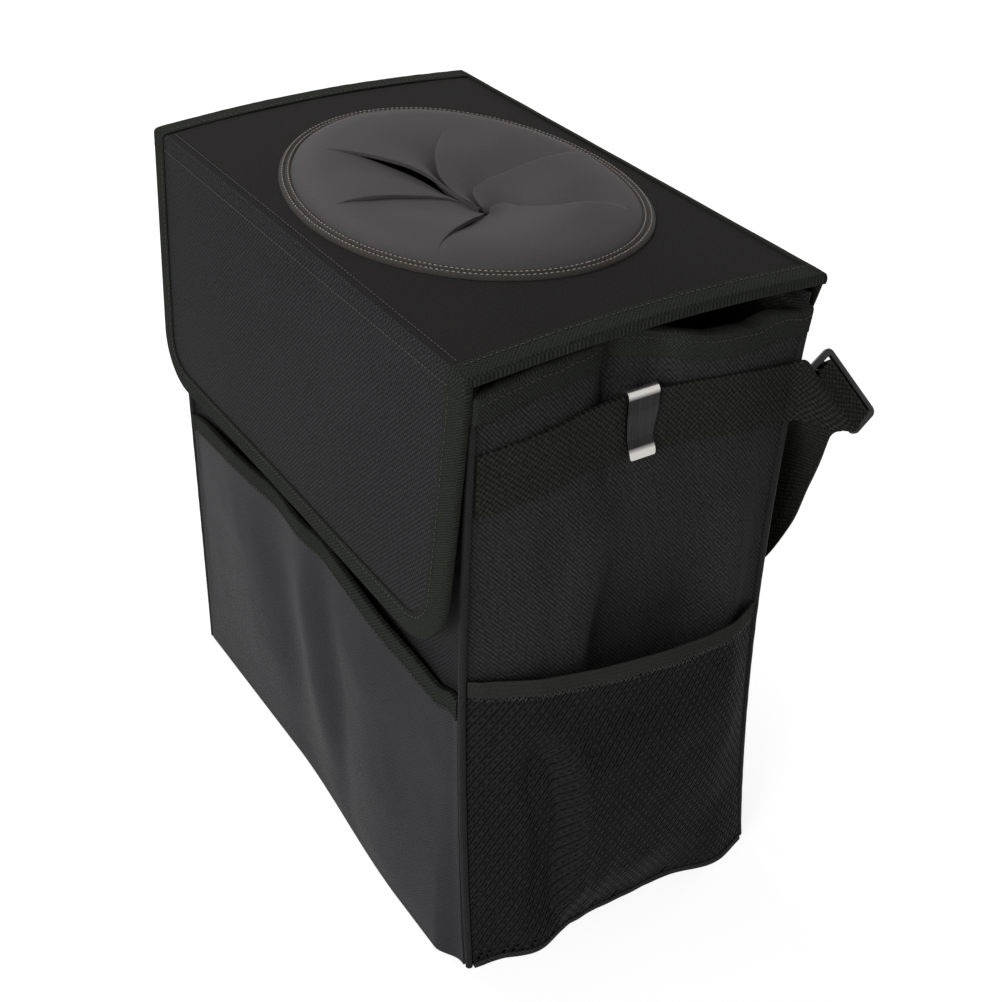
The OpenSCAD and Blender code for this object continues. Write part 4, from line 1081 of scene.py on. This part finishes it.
def flap_reach(h, inset):
    """Half width of the flap's outline at a distance below the fold."""
    straight = flap_h - flap_r
    side = lid_x - flap_narrowing * min(1, h / straight) - inset
    over = h - straight
    if over <= 0:
        return side
    r = flap_r - inset
    return side - r + math.sqrt(max(0, r * r - min(over, r) ** 2))


def flap_place(u, v):
    over_fold = 0.08
    if v < over_fold:
        x = u * 139
        run_y = lid_run + (fold_arc + 0.5) * v / over_fold
        return side_edge(run_y, x, fold_r + 0.15), (x, run_y - lid_run - fold_arc)
    h = 0.5 + (flap_h - 1.5) * (1 - (1 - (v - over_fold) / 0.92) ** 1.35)
    x = u * flap_reach(h, 0.9)
    return flap_point(x, h, fold_r + 0.15), (x, h)


bm = cloth_sheet(130, 104, flap_place, cloth_t, (0, -1, 0))
flap_cloth = sewn_piece(bm, "flap_cloth", flap_finish)
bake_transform(flap_cloth)
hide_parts("flap_panel")

# Flap lining: the same thin cloth as under the lid, glued flat over the board and caught in the tape.


def flap_lining_place(u, v):
    h = 2.5 + (flap_h - 4) * (1 - (1 - v) ** 1.35)
    reach = flap_reach(h - 2.5 + 1.3 * (1 - v), 1.4)
    over_board = ease((min(reach * (1 - abs(u)), flap_h - h) - 3) / 7)
    return flap_point(u * reach, h, -fold_r - 0.1 - 0.5 * over_board, 1 - over_board), (u * 139, v * 125)


bm = cloth_sheet(110, 72, flap_lining_place, 0.6, (0, 1, 0))
flap_lining = sewn_piece(bm, "flap_lining_cloth", lining_finish)
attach(flap_lining, "flap")
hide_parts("flap_lining")

# Flap tape: binding tape folded round the free edges of the flap, eased round the corners, with
# stitches near its inner edge, and a stitched seam along the fold.
straight = flap_h - flap_r
round_x = lid_x - flap_narrowing - flap_r
outline = [(flap_reach(h, 0), h) for h in range(6, straight, 2)]
outline += [(round_x + flap_r * math.cos(a * math.pi / 36), straight + flap_r * math.sin(a * math.pi / 36))
    for a in range(0, 19)]
outline += [(round_x * (1 - i / 28), flap_h) for i in range(1, 29)]
outline += [(-x, h) for x, h in outline[-2::-1]]
inward = []
for i, (x, h) in enumerate(outline):
    before, after = outline[max(0, i - 1)], outline[min(len(outline) - 1, i + 1)]
    along = Vector((after[0] - before[0], after[1] - before[1])).normalized()
    inward.append(Vector((-along.y, along.x)))


def flap_edge(f, inset, off):
    i = min(len(outline) - 2, int(f))
    t = f - i
    x, h = Vector(outline[i]).lerp(Vector(outline[i + 1]), t) + inward[i].lerp(inward[i + 1], t) * inset
    return flap_point(x, h, off)


def flap_tape_place(u, v):
    run, off = fold_profile(v, 10, 4.5, 0.6)
    f = (u + 1) / 2 * (len(outline) - 1)
    groove = 0.3 * hump(run - 7.9, 0.6) * (1 if off > 0 else 0)
    return flap_edge(f, run + 0.4, off - groove), (f * 3, run)


bm = cloth_sheet(2 * (len(outline) - 1), 26, flap_tape_place, 0, (0, -1, 0))
flap_tape = sewn_piece(bm, "flap_tape", tape_finish)
thicken(flap_tape, 0.4, 0)
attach(flap_tape, "flap")
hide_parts("flap_binding")
bm = bmesh.new()
line = [flap_edge(i / 2, 8.3, 2.3) for i in range(2, 2 * len(outline) - 3)]
stitch_row(bm, line, [(0, -1, 0)] * len(line))
line = [flap_point(x, 5, 1.9) for x in range(-129, 130, 2)]
stitch_row(bm, line, [(0, -1, 0)] * len(line), pitch=2.4)
flap_stitches = sewn_piece(bm, "flap_stitches", thread_finish)
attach(flap_stitches, "flap")
bm = bmesh.new()
line = [(x, fold_y + 3.2, lid_z + crown(x, fold_y + 3.2) + 0.1) for x in range(-127, 128, 2)]
stitch_row(bm, line, [(0, 0, 1)] * len(line), pitch=2.4)
fold_stitches = sewn_piece(bm, "fold_stitches", thread_finish)
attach(fold_stitches, "lid")

# Hinge cloth: a strip sewn to the back of the bag and to the back edge of the lid, slack enough to
# let the lid turn right over.
hinge_line = [(80.9, 277), (81.2, 284), (82.4, 292), (85.2, 299), (87.0, 304), (86.6, 308.8), (85.2, 310.6),
    (82.5, 311.1)]


def hinge_place(u, v):
    x = u * 137
    f = v * (len(hinge_line) - 1)
    i = min(len(hinge_line) - 2, int(f))
    t = f - i
    y, z = (a * (1 - t) + b * t for a, b in zip(hinge_line[i], hinge_line[i + 1]))
    belly = math.sin(v * math.pi)
    return (x, y + 0.5 * belly * crumple(x, v * 20, 24, 3), z + 0.15), (x, v * 44)


bm = cloth_sheet(110, 28, hinge_place, 0.9, (0, 1, 0))
hinge_cloth = sewn_piece(bm, "hinge_cloth", tape_finish)
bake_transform(hinge_cloth)
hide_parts("hinge_tape")

# Floor, light and camera: a plain white floor under soft light, most of it from above and from the
# front, and the camera where the photograph was taken. Their places are in metres.
floor_finish = bpy.data.materials.new("White floor")
floor_finish.use_nodes = True
tree = floor_finish.node_tree
tree.nodes.remove(tree.nodes["Principled BSDF"])


def seen_directly(tree):
    """One for what the camera sees, in a reflection or through a gap too, and nought for plain light."""
    path = node(tree, "ShaderNodeLightPath")
    mirror_or_eye = calc(tree, "MAXIMUM", path.outputs["Is Camera Ray"], path.outputs["Is Glossy Ray"])
    return calc(tree, "MAXIMUM", mirror_or_eye, path.outputs["Is Transmission Ray"])


pale = node(tree, "ShaderNodeBsdfDiffuse", (0.85, 0.85, 0.85, 1))
bright = node(tree, "ShaderNodeEmission", (1, 1, 1, 1), 1.35)
share = calc(tree, "MULTIPLY", seen_directly(tree), 0.6)
blended = node(tree, "ShaderNodeMixShader", share, pale.outputs[0], bright.outputs[0])
tree.links.new(blended.outputs[0], tree.nodes["Material Output"].inputs["Surface"])
bm = bmesh.new()
bmesh.ops.create_grid(bm, x_segments=2, y_segments=2, size=3)
floor = sewn_piece(bm, "floor", floor_finish)

world = bpy.data.worlds.new("Studio")
bpy.context.scene.world = world
world.use_nodes = True
tree = world.node_tree
sky = tree.nodes["Background"]
strength = calc(tree, "MULTIPLY_ADD", seen_directly(tree), 0.7, 0.3)
sky.inputs["Color"].default_value = (1, 1, 1, 1)
tree.links.new(strength, sky.inputs["Strength"])


def soft_light(name, at, size, power):
    """A square lamp that shines at the middle of the bag."""
    lamp = bpy.data.lights.new(name, "AREA")
    lamp.size = size
    lamp.energy = power
    light = bpy.data.objects.new(name, lamp)
    light.location = at
    light.rotation_euler = (Vector((0, 0, 0.15)) - Vector(at)).to_track_quat("-Z", "Y").to_euler()
    bpy.context.scene.collection.objects.link(light)


soft_light("overhead", (-1.0, -0.1, 1.25), 0.7, 12)
soft_light("front", (0.6, -1.0, 0.6), 0.6, 8.5)
soft_light("right", (1.6, -0.3, 0.9), 0.8, 1.3)
soft_light("back", (-0.3, 1.6, 0.9), 0.8, 4)

camera = bpy.data.objects.new("camera", bpy.data.cameras.new("camera"))
bpy.context.scene.collection.objects.link(camera)
camera.data.sensor_width = 36
camera.data.lens = 56.88
aim = Matrix.Rotation(math.radians(56.5303), 4, "Z") @ Matrix.Rotation(math.radians(56.0985), 4, "X")
aim = aim @ Matrix.Rotation(math.radians(1.5167), 4, "Z")
camera.matrix_world = Matrix.Translation((0.55208, -0.34051, 0.58560)) @ aim
bpy.context.scene.camera = camera
bpy.context.scene.view_settings.view_transform = "Standard"
